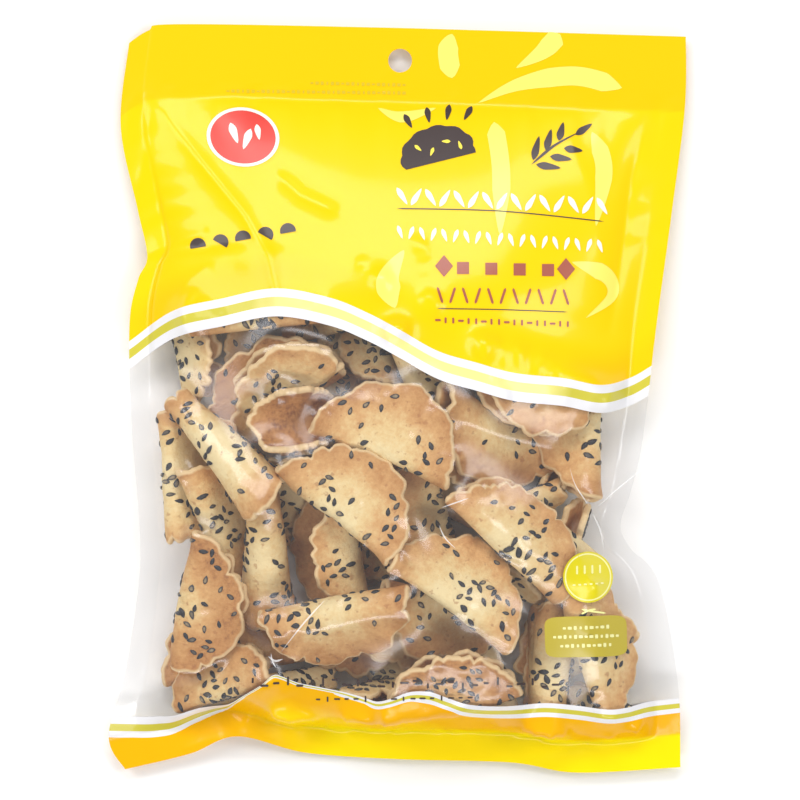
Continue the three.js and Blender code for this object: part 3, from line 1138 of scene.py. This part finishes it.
def filmPatch(name, z, u, low, high, side, fieldsOf, hole=False):
    # a sheet of film between two lines of v, its columns along the bag, with faces outward
    rows = max(4, int(round((high - low).mean() * bag["flatLength"] / film["printPitch"])))
    t = np.linspace(0, 1, rows + 1)[:, None]
    v = low + (high - low) * t
    uu = np.broadcast_to(u, v.shape)
    x, y = placeAt(uu, v)
    height = readFilm(z, uu, v)
    faces = gridFaces(rows + 1, len(u))
    if hole:
        x, y, faces = cutHole(x, y, faces)
    if side < 0:
        faces = faces[:, ::-1]
    points = np.stack([x, y, height], axis=-1).reshape(-1, 3)
    fields = {key: value.ravel() for key, value in fieldsOf(x, y, uu, v).items()}
    points, faces, fields = usedOnly(points, faces, fields)
    return makeMesh(name, points, faces.tolist(), fields)


def usedOnly(points, faces, fields):
    # drops the points that no face uses
    used = np.unique(faces)
    number = np.full(len(points), -1)
    number[used] = np.arange(len(used))
    return points[used], number[faces], {key: value[used] for key, value in fields.items()}


def cutHole(x, y, faces):
    # The grid is moved so that a point lies at the hole's middle; the square rings of points round
    # it are drawn into circles, the first of holeRings into the hole's own, and the faces inside go.
    ring, outer = film["holeRings"]
    away = np.hypot(x - film["holeAt"][0], y - film["holeAt"][1])
    j0, i0 = np.unravel_index(away.argmin(), away.shape)
    fade = np.exp(-(away / film["holeFade"]) ** 2)
    x = x + (film["holeAt"][0] - x[j0, i0]) * fade
    y = y + (film["holeAt"][1] - y[j0, i0]) * fade
    j, i = np.meshgrid(np.arange(x.shape[0]), np.arange(x.shape[1]), indexing="ij")
    square = np.maximum(np.abs(j - j0), np.abs(i - i0))
    angle = np.arctan2(j - j0, i - i0)
    dx, dy = x - film["holeAt"][0], y - film["holeAt"][1]
    far = np.hypot(dx, dy)
    share = smooth((square - ring) / (outer - ring))
    wanted = film["holeRadius"] + (square - ring) * film["printPitch"]
    cx = film["holeAt"][0] + wanted * np.cos(angle)
    cy = film["holeAt"][1] + wanted * np.sin(angle)
    near = square <= outer
    x = np.where(near, cx * (1 - share) + x * share, x)
    y = np.where(near, cy * (1 - share) + y * share, y)
    flat = square.ravel()
    kept = ~((flat[faces] <= ring).all(axis=1))
    return x, y, faces[kept]


def sealShare(past):
    # 0 on the bag and 1 on the seal, past it by that share of the bag's length
    return smooth(past * bag["flatLength"] / film["sealBlur"] + 0.5)


def headFields(x, y, u, v):
    # mm into the stripes (below 0 on the yellow), seal or not, and mm across the bag
    return {"stripe": np.interp(x, *headLine) - y, "seal": sealShare(v - headerShare),
            "side": u * bag["flatWidth"]}


def baseFields(x, y, u, v):
    # the same, with the stripes drawn out to the head's depth
    deep = np.maximum(np.interp(x, *baseDeep), boundary["leastDeep"])
    above = y - np.interp(x, *baseLine)
    return {"stripe": np.where(above > 0, above / deep * headStripe * pixelSize, above),
            "seal": sealShare(bottomShare - v), "side": u * bag["flatWidth"]}


def noFields(x, y, u, v):
    # the clear window has no print
    return {}


filmColumns = np.linspace(0, 1, film["printColumns"])
headLow = shareOfEdge(filmColumns, headLine, headDeep)
baseHigh = shareOfEdge(filmColumns, baseLine, baseDeep)
ones = np.ones_like(filmColumns)
printedPieces = []
clearPieces = []
for side, z, label in ((1, frontZ, "front"), (-1, backZ, "back")):
    printedPieces.append(filmPatch(label + "Head", z, filmColumns, headLow, ones, side, headFields,
                                   hole=True))
    printedPieces.append(filmPatch(label + "Base", z, filmColumns, 0 * ones, baseHigh, side,
                                   baseFields))
    clearPieces.append(filmPatch(label + "Window", z, filmColumns, baseHigh, headLow, side,
                                 noFields))
print("film made")


# The print on the film: plain shapes, by the picture's pixels.
ink = {
    "lift": 0.2,  # mm over the film
    "glintLift": 0.3,
}


def strokeShape(pixels, width, taper=(0.5, 0.5), power=0.5, steps=14, across=3):
    # a band along a smooth line, its half width times (t / taper) to the power at each end, as a
    # grid of pixels along and across
    line = splineTable(pixels, 10)[1] if len(pixels) > 2 else np.array(pixels, float)
    reach = np.concatenate([[0], np.cumsum(np.hypot(*np.diff(line, axis=0).T))])
    t = np.linspace(0, 1, steps + 1)
    x = np.interp(t * reach[-1], reach, line[:, 0])
    y = np.interp(t * reach[-1], reach, line[:, 1])
    dx, dy = np.gradient(x), np.gradient(y)
    size = np.hypot(dx, dy)
    ends = np.minimum(1, t / max(taper[0], 1e-3)) * np.minimum(1, (1 - t) / max(taper[1], 1e-3))
    half = width / 2 * np.maximum(ends, 1e-4) ** power
    s = np.linspace(-1, 1, across + 1)
    px = x[:, None] + (dy / size * half)[:, None] * s
    py = y[:, None] - (dx / size * half)[:, None] * s
    return np.stack([px, py], axis=-1)


def discShape(centre, rx, ry, turn=0.0, lobes=0, lobeDepth=0.0, cut=None, inner=0.0, power=2.0,
              steps=48, rings=5):
    # rings of pixels from inner to 1 of the outline: a superellipse with lobes, cut straight
    # across at a share of its height if asked
    angle = np.linspace(0, 2 * np.pi, steps, endpoint=False)
    c, s = np.cos(angle), np.sin(angle)
    scale = (np.abs(c) ** power + np.abs(s) ** power) ** (-1 / power)
    scale = scale * (1 + lobeDepth * np.abs(np.sin(lobes * angle / 2)))
    ex, ey = rx * c * scale, ry * s * scale
    if cut is not None:
        ey = np.minimum(ey, cut * ry)
    share = np.linspace(inner, 1, rings + 1)[:, None]
    ex, ey = ex * share, ey * share
    t = math.radians(turn)
    px = centre[0] + ex * math.cos(t) - ey * math.sin(t)
    py = centre[1] + ex * math.sin(t) + ey * math.cos(t)
    grid = np.stack([px, py], axis=-1)
    return np.concatenate([grid, grid[:, :1]], axis=1)


def layOnFilm(grids, z, side, lift):
    # pixel grids as sheets that lie on the film, faces outward
    points, faces, start = [], [], 0
    for grid in grids:
        flat = onFilm(grid)
        u, v = sharesAt(flat[..., 0], flat[..., 1])
        height = readFilm(z, u, v) + side * lift
        sheet = np.concatenate([flat, height[..., None]], axis=-1)
        four = gridFaces(*grid.shape[:2])
        a, b, c = (sheet.reshape(-1, 3)[four[:, k]] for k in (0, 1, 2))
        area = np.cross(b - a, c - a)[:, 2]
        if area.sum() * side < 0:
            four = four[:, ::-1]
        points.append(sheet.reshape(-1, 3))
        faces.append(four + start)
        start += len(points[-1])
    return np.vstack(points), np.vstack(faces).tolist()


def rowOf(start, end, count, shape):
    # the same shape at even steps from one pixel to another
    return [shape(start[0] + (end[0] - start[0]) * k / (count - 1),
                  start[1] + (end[1] - start[1]) * k / (count - 1), k) for k in range(count)]


def shortStroke(x, y, length, width, heading, taper, power):
    # a straight band with its middle at x, y
    t = math.radians(heading)
    reach = (length / 2 * math.cos(t), length / 2 * math.sin(t))
    return strokeShape([(x - reach[0], y - reach[1]), (x + reach[0], y + reach[1])], width, taper,
                       power, 10, 2)


def leaf(x, y, length, width, heading):
    # wider towards its start, and pointed
    return shortStroke(x, y, length, width, heading, (0.35, 0.75), 0.6)


def dash(x, y, length, width, heading=0.0):
    # even, with round ends
    return shortStroke(x, y, length, width, heading, (0.08, 0.08), 0.4)


def sprig(x, y, size, heading):
    # a stem with three pairs of leaves and one at its tip
    t = math.radians(heading)
    along = (math.cos(t), math.sin(t))
    shapes = [strokeShape([(x - along[0] * size, y - along[1] * size),
                           (x + 3 * math.sin(t), y - 3 * math.cos(t)),
                           (x + along[0] * size, y + along[1] * size)], 3.4, (0.3, 0.9), 0.6)]
    for k, share in enumerate((-0.55, -0.05, 0.45)):
        for way in (-1, 1):
            at = (x + along[0] * size * share - way * along[1] * 11,
                  y + along[1] * size * share + way * along[0] * 11)
            shapes.append(leaf(*at, 25 - 3 * k, 8.5, heading + way * 42))
    shapes.append(leaf(x + along[0] * size * 1.12, y + along[1] * size * 1.12, 20, 8, heading))
    return shapes


brownShapes = [
    discShape((438, 154), 36, 27, -14, 11, 0.07, 0.28),
    *rowOf((408, 121), (468, 113), 4,
           lambda x, y, k: leaf(x, y - 4 * math.sin(math.pi * k / 3), 16, 7, 60 + 20 * k)),
    *sprig(556, 148, 30, -34),
    *rowOf((198, 246), (288, 231), 5,
           lambda x, y, k: discShape((x, y), 8, 8, -10 + 40 * (k % 2), 0, 0, 0.2, 0, 2, 24, 2)),
    strokeShape([(397, 208.5), (500, 211), (604, 221.5)], 1.1, (0.02, 0.02), 0.3, 40, 1),
    strokeShape([(437, 308.5), (500, 309.5), (568, 312)], 0.9, (0.02, 0.02), 0.3, 30, 1),
    *rowOf((253, 683), (556, 684), 27,
           lambda x, y, k: dash(x, y + (k * 5 % 7) - 3, 5.5 + k * 3 % 5, 2.2, 90 * (k * 7 % 3 == 0))),
    *rowOf((318, 700), (470, 697), 17,
           lambda x, y, k: dash(x, y, 4.5 + k % 3, 1.6, 90 * (k % 4 == 1))),
]
darkCut = [
    *rowOf((418, 157), (460, 147), 4,
           lambda x, y, k: leaf(x, y - 9 + 7 * (k % 2), 9, 4, 40 + 70 * k)),
]
whiteShapes = [
    *rowOf((402, 196), (602, 206), 15,
           lambda x, y, k: leaf(x, y, 20, 6.5, -58 if k % 2 else 58)),
    *rowOf((400, 232), (600, 246), 19,
           lambda x, y, k: leaf(x, y, 14, 5, 90 + (20 if k % 2 else -20))),
]
redShapes = [
    *rowOf((463, 268), (548, 270), 4,
           lambda x, y, k: discShape((x, y), 8.5, 8.5, 45, 0, 0, None, 0, 1.0, 16, 2)),
    discShape((444, 266), 9, 11, 0, 0, 0, None, 0, 1.0, 16, 2),
    discShape((566, 269), 9, 11, 0, 0, 0, None, 0, 1.0, 16, 2),
    *rowOf((440, 295), (566, 297), 11,
           lambda x, y, k: dash(x, y, 17, 2.4, 90 + (18 if k % 2 else -18))),
    *rowOf((438, 320), (568, 324), 18,
           lambda x, y, k: dash(x, y, 6, 2.0, 90 if k % 3 else 0)),
]
paleShapes = [
    strokeShape([(478, 103), (520, 84), (575, 76), (622, 88)], 19, (0.5, 0.12), 0.8, 40, 8),
    strokeShape([(560, 34), (542, 52), (516, 68)], 19, (0.1, 0.7), 0.8, 28, 8),
    strokeShape([(452, 34), (448, 52), (452, 78)], 20, (0.3, 0.25), 0.6, 28, 8),
    strokeShape([(494, 122), (501, 170), (500, 235)], 18, (0.1, 0.4), 0.7, 40, 8),
    strokeShape([(592, 132), (604, 168), (596, 226)], 17, (0.2, 0.5), 0.7, 40, 8),
    strokeShape([(404, 250), (388, 280), (395, 308)], 24, (0.6, 0.3), 0.7, 32, 8),
    strokeShape([(572, 262), (606, 275), (612, 296), (586, 318)], 17, (0.3, 0.7), 0.8, 40, 8),
    strokeShape([(378, 108), (402, 117), (436, 108)], 11, (0.4, 0.5), 0.7, 20, 3),
]
redDisc = discShape((243, 137), 33.5, 26.5, 8)
redRing = discShape((243, 137), 36.5, 29.5, 8, inner=0.9, rings=1)
redInner = [leaf(234, 133, 22, 9, 70), leaf(247, 139, 22, 9, 110), leaf(258, 132, 16, 7, 80)]
badgeDisc = discShape((588, 577), 25, 25.5)
badgeRing = [discShape((588, 577), 23.4, 23.8, inner=0.94, rings=1),
             strokeShape([(581, 614), (589, 610), (596, 609)], 1.8, (0.1, 0.1), 0.3, 10, 1),
             strokeShape([(581, 609), (591, 611), (606, 613)], 1.8, (0.1, 0.1), 0.3, 10, 1)]
badgeLines = [*rowOf((577, 570), (600, 569), 4, lambda x, y, k: dash(x, y, 9, 2, 90)),
              *rowOf((574, 585), (602, 583), 6, lambda x, y, k: dash(x, y, 3, 1.6, 0))]
label = discShape((586, 636.5), 41, 20.5, -2, power=7.0, steps=64)
labelLines = [each for row, length in ((628, 9), (637, 13), (646, 10))
              for each in rowOf((586 - length * 2.4, row + 0.5), (586 + length * 2.4, row - 1.5), length,
                                lambda x, y, k: dash(x, y, 3.2, 4 if k % 3 else 2.4, 90 * (k % 2)))]
showThrough = [each for row, start in ((84, 312), (92, 228))
               for each in rowOf((start, row - 1), (404, row + 1), (410 - start) // 5,
                                 lambda x, y, k: dash(x, y, 3.2, 3.4 if k % 3 else 1.8, 90 * (k % 2)))]
panel = [discShape((400, 215), 150, 70, 0, power=9.0, steps=96, rings=24)]
panelLines = [each for row in range(8)
              for each in rowOf((275, 160 + row * 15), (525 - 25 * (row % 3), 160 + row * 15),
                                22 - 2 * (row % 3), lambda x, y, k: dash(x, y, 6, 2.2 + k % 2, 0))]
# Painted highlights: thin white strokes on the front film that stand for the glints of its sharp folds.
glintStrokes = [
    strokeShape([(325, 600), (303, 624), (281, 652)], 1.4, (0.3, 0.5), 0.7, 24, 2),
    strokeShape([(441, 508), (455, 503), (469, 498)], 1.3, (0.4, 0.4), 0.7, 12, 2),
    strokeShape([(439, 525), (445, 538), (456, 549)], 1.3, (0.4, 0.4), 0.7, 12, 2),
    strokeShape([(268, 656), (275, 661), (283, 659)], 2.0, (0.3, 0.3), 0.7, 8, 2),
    strokeShape([(276, 668), (272, 660), (271, 653)], 1.4, (0.3, 0.3), 0.7, 8, 2),
    strokeShape([(596, 508), (616, 490), (646, 466)], 1.0, (0.3, 0.5), 0.7, 24, 2),
    strokeShape([(592, 512), (600, 530), (604, 550)], 1.2, (0.3, 0.5), 0.7, 18, 2),
    strokeShape([(590, 507), (576, 486), (570, 468)], 1.0, (0.3, 0.6), 0.7, 18, 2),
]

# name, colour, roughness, shapes, and mm over the lift
printPieces = [
    ("inkBrown", "#3b2c2c", 0.5, brownShapes, 0.0),
    ("inkCut", "#fde84a", 0.5, darkCut, 0.08),
    ("inkWhite", "#fbf4ee", 0.45, whiteShapes, 0.06),
    ("inkRusset", "#a8543e", 0.45, redShapes, 0.06),
    ("inkPale", "#fef06a", 0.4, paleShapes, -0.06),
    ("inkRed", "#e2382a", 0.4, [redDisc], 0.0),
    ("inkRedRing", "#fdf3ea", 0.4, [redRing, *redInner], 0.08),
    ("inkBadge", "#e4d600", 0.35, [badgeDisc], 0.0),
    ("inkBadgeRing", "#fbf8a4", 0.35, [*badgeRing, *badgeLines], 0.08),
    ("inkLabel", "#c0ae38", 0.4, [label], 0.0),
    ("inkLabelLines", "#f2efa6", 0.4, labelLines, 0.08),
    ("inkShowThrough", "#d9bd10", 0.4, showThrough, -0.04),
]


def addNode(tree, kind, settings=None, links=None):
    # a node with its settings (attributes by name, sockets by number or name) and its inputs' links
    node = tree.nodes.new(kind)
    for key, value in (settings or {}).items():
        if isinstance(key, int) or key in node.inputs:
            node.inputs[key].default_value = value
        else:
            setattr(node, key, value)
    for key, source in (links or {}).items():
        tree.links.new(source, node.inputs[key])
    return node


def newMaterial(name):
    # an empty node material and its tree
    material = bpy.data.materials.new(name)
    material.use_nodes = True
    tree = material.node_tree
    tree.nodes.clear()
    return material, tree


def colourRamp(tree, factor, stops, constant=False):
    # a colour ramp from (place, hex) stops
    ramp = addNode(tree, "ShaderNodeValToRGB", {}, {0: factor})
    if constant:
        ramp.color_ramp.interpolation = "CONSTANT"
    elements = ramp.color_ramp.elements
    while len(elements) < len(stops):
        elements.new(0.5)
    for element, (at, colour) in zip(elements, stops):
        element.position = at
        element.color = linearOf(colour)
    return ramp


def bakedDough():
    # baked wheat dough: cream over the fold where the batter lay thick, pinkish tan flaps with
    # brown specks, a pale crimped edge and a browner inside
    material, tree = newMaterial("bakedDough")
    read = {key: addNode(tree, "ShaderNodeAttribute", {"attribute_name": key}).outputs["Fac"]
            for key in ("top", "rim", "discX", "discY", "tone")}
    apart = addNode(tree, "ShaderNodeMath", {"operation": "MULTIPLY", 1: 40.0}, {0: read["tone"]})
    flat = addNode(tree, "ShaderNodeCombineXYZ", {},
                   {0: read["discX"], 1: read["discY"], 2: apart.outputs[0]})
    level = addNode(tree, "ShaderNodeCombineXYZ", {}, {0: read["discX"], 1: read["discY"]})
    reach = addNode(tree, "ShaderNodeVectorMath", {"operation": "LENGTH"}, {0: level.outputs[0]})
    blotch = addNode(tree, "ShaderNodeTexNoise", {"Scale": 0.11, "Detail": 4.0, "Roughness": 0.6},
                     {"Vector": flat.outputs[0]})
    browning = addNode(tree, "ShaderNodeMath", {"operation": "MULTIPLY_ADD", 1: 22.0},
                       {0: blotch.outputs["Fac"], 2: reach.outputs["Value"]})
    toned = addNode(tree, "ShaderNodeMath", {"operation": "MULTIPLY_ADD", 1: 3.0},
                    {0: read["tone"], 2: browning.outputs[0]})
    outer = addNode(tree, "ShaderNodeMapRange", {"From Min": 15.0, "From Max": 38.0, "To Max": 0.84},
                    {"Value": toned.outputs[0]})
    inner = addNode(tree, "ShaderNodeMapRange",
                    {"From Min": 0.3, "From Max": 0.7, "To Min": 0.6, "To Max": 0.82},
                    {"Value": blotch.outputs["Fac"]})
    # tone shifts the inside's colour a little too; for the small tube seen into its mouth that is painted
    # shade
    innerToastAndShade = addNode(tree, "ShaderNodeMath", {"operation": "MULTIPLY_ADD", 1: 0.035},
                      {0: read["tone"], 2: inner.outputs[0]})
    baked = addNode(tree, "ShaderNodeMix", {},
                    {0: read["top"], 2: innerToastAndShade.outputs[0], 3: outer.outputs[0]})
    mottle = addNode(tree, "ShaderNodeTexNoise", {"Scale": 0.55, "Detail": 5.0, "Roughness": 0.7},
                     {"Vector": flat.outputs[0]})
    uneven = addNode(tree, "ShaderNodeMapRange",
                     {"From Min": 0.3, "From Max": 0.7, "To Min": -0.13, "To Max": 0.13},
                     {"Value": mottle.outputs["Fac"]})
    mottled = addNode(tree, "ShaderNodeMath", {"operation": "ADD"},
                      {0: baked.outputs[0], 1: uneven.outputs[0]})
    ramp = colourRamp(tree, mottled.outputs[0], [(0.0, "#f0daa6"), (0.26, "#e8c88d"), (0.53, "#d8a66a"),
                                                (0.84, "#bd844a"), (1.0, "#8a5630")])
    place = addNode(tree, "ShaderNodeTexCoord")
    specks = addNode(tree, "ShaderNodeTexNoise", {"Scale": 420.0, "Detail": 2.0},
                     {"Vector": place.outputs["Object"]})
    speck = addNode(tree, "ShaderNodeMapRange", {"From Min": 0.64, "From Max": 0.72, "To Max": 0.5},
                    {"Value": specks.outputs["Fac"]})
    speckled = addNode(tree, "ShaderNodeMix", {"data_type": "RGBA", 7: linearOf("#a5673a")},
                       {0: speck.outputs[0], 6: ramp.outputs[0]})
    rimShare = addNode(tree, "ShaderNodeMath", {"operation": "MULTIPLY", 1: 0.8}, {0: read["rim"]})
    edge = addNode(tree, "ShaderNodeMix", {"data_type": "RGBA", 7: linearOf("#efd3a2")},
                   {0: rimShare.outputs[0], 6: speckled.outputs[2]})
    grain = addNode(tree, "ShaderNodeTexNoise", {"Scale": 520.0, "Detail": 6.0, "Roughness": 0.7},
                    {"Vector": place.outputs["Object"]})
    bump = addNode(tree, "ShaderNodeBump", {"Strength": 0.6, "Distance": 0.001},
                   {"Height": grain.outputs["Fac"]})
    shader = addNode(tree, "ShaderNodeBsdfPrincipled", {"Roughness": 0.6, "IOR": 1.45},
                     {"Base Color": edge.outputs[2], "Normal": bump.outputs[0]})
    addNode(tree, "ShaderNodeOutputMaterial", {}, {0: shader.outputs[0]})
    return material


def sesameHull():
    # black sesame: blue-black hulls with a dull sheen
    material, tree = newMaterial("blackSesameHull")
    shade = addNode(tree, "ShaderNodeAttribute", {"attribute_name": "shade"})
    crest = addNode(tree, "ShaderNodeAttribute", {"attribute_name": "crest"})
    mix = addNode(tree, "ShaderNodeMix",
                  {"data_type": "RGBA", 6: linearOf("#17181f"), 7: linearOf("#35363b")},
                  {0: shade.outputs["Fac"]})
    # Some seeds are tan along their crest: partly dough left on them, partly a painted highlight where the
    # crest catches the light.
    top = addNode(tree, "ShaderNodeMapRange", {"From Min": 0.55, "From Max": 0.95},
                  {"Value": crest.outputs["Fac"]})
    doughAndHighlightShare = addNode(tree, "ShaderNodeMapRange", {"From Min": 0.5, "From Max": 0.9, "To Max": 0.75},
                     {"Value": shade.outputs["Fac"]})
    crestDoughAndHighlight = addNode(tree, "ShaderNodeMath", {"operation": "MULTIPLY"},
                   {0: top.outputs[0], 1: doughAndHighlightShare.outputs[0]})
    hull = addNode(tree, "ShaderNodeMix", {"data_type": "RGBA", 7: linearOf("#b09a74")},
                   {0: crestDoughAndHighlight.outputs[0], 6: mix.outputs[2]})
    shader = addNode(tree, "ShaderNodeBsdfPrincipled", {"Roughness": 0.42},
                     {"Base Color": hull.outputs[2]})
    addNode(tree, "ShaderNodeOutputMaterial", {}, {0: shader.outputs[0]})
    return material


dough = bakedDough()
for piece in crackerPieces:
    piece.data.materials.append(dough)
    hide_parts("cracker_bag")
seedPiece.data.materials.append(sesameHull())
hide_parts("cracker_bag")


def printedFilm(name, base, deep, far, seal, middleStripe):
    # glossy laminate printed yellow: flat ink, with painted shade on the base and a painted sheen on the
    # head's middle stripe, under a film that mirrors the soft boxes in its folds
    material, tree = newMaterial(name)
    stripe = addNode(tree, "ShaderNodeAttribute", {"attribute_name": "stripe"})
    sealed = addNode(tree, "ShaderNodeAttribute", {"attribute_name": "seal"})
    place = addNode(tree, "ShaderNodeTexCoord")
    cloud = addNode(tree, "ShaderNodeTexNoise", {"Scale": 14.0, "Detail": 1.0},
                    {"Vector": place.outputs["Object"]})
    cloudy = addNode(tree, "ShaderNodeMapRange", {"From Min": 0.42, "From Max": 0.62},
                     {"Value": cloud.outputs["Fac"]})
    yellow = addNode(tree, "ShaderNodeMix", {"data_type": "RGBA", 6: linearOf(base), 7: linearOf(deep)},
                     {0: cloudy.outputs[0]})
    side = addNode(tree, "ShaderNodeAttribute", {"attribute_name": "side"})
    rightward = addNode(tree, "ShaderNodeMapRange", {"From Min": 40.0, "From Max": 75.0},
                        {"Value": side.outputs["Fac"]})
    farInk = addNode(tree, "ShaderNodeMix", {"data_type": "RGBA", 6: linearOf(far[0]), 7: linearOf(far[1])},
                     {0: rightward.outputs[0]})
    # Within 6 mm of the stripes the ink keeps base and deep, and past 13 mm it takes far. On the base, the
    # amber near the contents is painted shade: the print seen over shadow.
    away = addNode(tree, "ShaderNodeMapRange", {"From Min": -6.0, "From Max": -13.0},
                   {"Value": stripe.outputs["Fac"]})
    farther = addNode(tree, "ShaderNodeMix", {"data_type": "RGBA"},
                      {0: away.outputs[0], 6: yellow.outputs[2], 7: farInk.outputs[2]})
    sealInk = addNode(tree, "ShaderNodeMix",
                      {"data_type": "RGBA", 6: linearOf(seal[0]), 7: linearOf(seal[1])},
                      {0: rightward.outputs[0]})
    band = addNode(tree, "ShaderNodeMix", {"data_type": "RGBA"},
                   {0: sealed.outputs["Fac"], 6: farther.outputs[2], 7: sealInk.outputs[2]})
    # The middle stripe is paler across the middle of the bag than at its sides: on the head this is painted
    # sheen, where the film over it catches the light.
    inward = addNode(tree, "ShaderNodeMath", {"operation": "SUBTRACT", 1: 104.0}, {0: side.outputs["Fac"]})
    offMiddle = addNode(tree, "ShaderNodeMath", {"operation": "ABSOLUTE"}, {0: inward.outputs[0]})
    atSides = addNode(tree, "ShaderNodeMapRange", {"From Min": 48.0, "From Max": 58.0},
                      {"Value": offMiddle.outputs[0]})
    pale = addNode(tree, "ShaderNodeMix",
                   {"data_type": "RGBA", 6: linearOf(middleStripe), 7: linearOf("#cfc545")},
                   {0: atSides.outputs[0]})
    total = headStripe * pixelSize
    share = addNode(tree, "ShaderNodeMapRange", {"From Min": 0.0, "From Max": total},
                    {"Value": stripe.outputs["Fac"]})
    isWhite = colourRamp(tree, share.outputs[0],
                         [(0.0, "#ffffff"), (0.30, "#000000"), (0.64, "#ffffff")], True)
    isStripe = addNode(tree, "ShaderNodeMath", {"operation": "GREATER_THAN", 1: 0.0},
                       {0: stripe.outputs["Fac"]})
    stripes = addNode(tree, "ShaderNodeMix", {"data_type": "RGBA", 7: linearOf("#eae9ec")},
                      {0: isWhite.outputs[0], 6: pale.outputs[2]})
    colour = addNode(tree, "ShaderNodeMix", {"data_type": "RGBA"},
                     {0: isStripe.outputs[0], 6: band.outputs[2], 7: stripes.outputs[2]})
    shader = addNode(tree, "ShaderNodeBsdfPrincipled",
                     {"Roughness": 0.3, "IOR": 1.4, "Specular IOR Level": 0.2, "Coat Weight": 0.25,
                      "Coat Roughness": 0.1},
                     {"Base Color": colour.outputs[2]})
    addNode(tree, "ShaderNodeOutputMaterial", {}, {0: shader.outputs[0]})
    return material


def clearFilm():
    # thin clear polypropylene: a faint milky veil and sharp glints
    material, tree = newMaterial("clearPolypropylene")
    shader = addNode(tree, "ShaderNodeBsdfPrincipled",
                     {"Base Color": linearOf("#d8d8dc"), "Alpha": 0.09, "Roughness": 0.18, "Metallic": 0.6,
                      "IOR": 1.5})
    addNode(tree, "ShaderNodeOutputMaterial", {}, {0: shader.outputs[0]})
    return material


headInk = printedFilm("printedFilmHead", "#ffd400", "#ffc800", ("#ffd400", "#ffd400"),
                      ("#ffc900", "#ffc800"), "#f2ea94")
# On the base, the amber near the contents is painted shade; away from them the ink turns from amber on the
# left to yellow on the right.
baseInk = printedFilm("printedFilmBase", "#f5b600", "#f0ac00", ("#f6b400", "#ffdf00"),
                      ("#f4b400", "#ffe600"), "#cfc545")
clear = clearFilm()
for piece in printedPieces:
    piece.data.materials.append(headInk if piece.name.endswith("Head") else baseInk)
    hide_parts("cracker_bag")
for piece in clearPieces:
    piece.data.materials.append(clear)
    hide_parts("cracker_bag")


def plainInk(name, colour, roughness):
    # one flat ink under the laminate, which gives it the film's even gloss
    material, tree = newMaterial(name)
    shader = addNode(tree, "ShaderNodeBsdfPrincipled",
                     {"Base Color": linearOf(colour), "Roughness": roughness, "Coat Weight": 0.3,
                      "Coat Roughness": 0.14})
    addNode(tree, "ShaderNodeOutputMaterial", {}, {0: shader.outputs[0]})
    return material


def paintedGlintFilm():
    # painted highlights: half-clear white strips that stand for the glints along the film's sharp folds
    material, tree = newMaterial("paintedGlintFilm")
    shader = addNode(tree, "ShaderNodeBsdfPrincipled",
                     {"Base Color": linearOf("#ffffff"), "Alpha": 0.6, "Roughness": 0.2})
    addNode(tree, "ShaderNodeOutputMaterial", {}, {0: shader.outputs[0]})
    return material


for name, colour, roughness, grids, raised in printPieces:
    piece = makeMesh(name, *layOnFilm(grids, frontZ, 1, ink["lift"] + raised), {})
    piece.data.materials.append(plainInk(name, colour, roughness))
    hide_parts("cracker_bag")
for name, colour, grids, raised in (("inkPanel", "#fbfaf2", panel, 0.0),
                                    ("inkPanelLines", "#4a4440", panelLines, 0.1)):
    piece = makeMesh(name, *layOnFilm(grids, backZ, -1, ink["lift"] + raised), {})
    piece.data.materials.append(plainInk(name, colour, 0.45))
    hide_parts("cracker_bag")
# the painted glints lie a little over the front film
glintPiece = makeMesh("glintStrokes", *layOnFilm(glintStrokes, frontZ, 1, ink["glintLift"]), {})
glintPiece.data.materials.append(paintedGlintFilm())
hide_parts("cracker_bag")
print("print made")


# The floor, and soft boxes by their place and size in metres and power in watts.
studio = {
    "floorSide": 6.0,
    "floorColour": "#fcfcfc",
    "floorRoughness": 0.9,
    "worldStrength": 0.33,
    "boxes": [
        ("softBoxLeft", (-0.9, 0.55, 1.0), (0.5, 0.9), 8.0),
        ("softBoxRight", (1.0, 0.2, 1.25), (0.5, 0.6), 6.0),
        ("softBoxTop", (0.05, 1.1, 1.3), (1.0, 0.45), 10.5),
        ("softBoxFoot", (0.0, -1.1, 1.05), (1.4, 0.3), 9.5),
    ],
}


def paleCard():
    # matt card, so that the ground has a soft shadow and no reflection
    material, tree = newMaterial("paleCard")
    shader = addNode(tree, "ShaderNodeBsdfPrincipled",
                     {"Base Color": linearOf(studio["floorColour"]), "Roughness": studio["floorRoughness"]})
    addNode(tree, "ShaderNodeOutputMaterial", {}, {0: shader.outputs[0]})
    return material


side = studio["floorSide"]
floorMesh = bpy.data.meshes.new("floor")
floorMesh.from_pydata([(-side, -side, 0), (side, -side, 0), (side, side, 0), (-side, side, 0)], [],
                      [(0, 1, 2, 3)])
floorMesh.materials.append(paleCard())
floor = bpy.data.objects.new("floor", floorMesh)
bpy.context.scene.collection.objects.link(floor)

for name, place, size, power in studio["boxes"]:
    light = bpy.data.lights.new(name, "AREA")
    light.shape = "RECTANGLE"
    light.size, light.size_y = size
    light.energy = power
    lamp = bpy.data.objects.new(name, light)
    lamp.location = place
    lamp.rotation_mode = "QUATERNION"
    lamp.rotation_quaternion = Vector(place).to_track_quat("Z", "Y")
    bpy.context.scene.collection.objects.link(lamp)

world = bpy.data.worlds.new("studio")
world.use_nodes = True
background = world.node_tree.nodes["Background"]
background.inputs["Color"].default_value = (1, 1, 1, 1)
background.inputs["Strength"].default_value = studio["worldStrength"]
bpy.context.scene.world = world

cameraData = bpy.data.cameras.new("camera")
cameraData.sensor_width = view["sensor"]
cameraData.lens = view["sensor"] * (view["height"] - view["level"]) / view["frameWidth"]
cameraData.clip_end = view["reach"]
camera = bpy.data.objects.new("camera", cameraData)
camera.location = (view["middle"][0] * mm, view["middle"][1] * mm, view["height"] * mm)
bpy.context.scene.collection.objects.link(camera)
bpy.context.scene.camera = camera
bpy.context.scene.view_settings.view_transform = "Standard"
print("studio set")
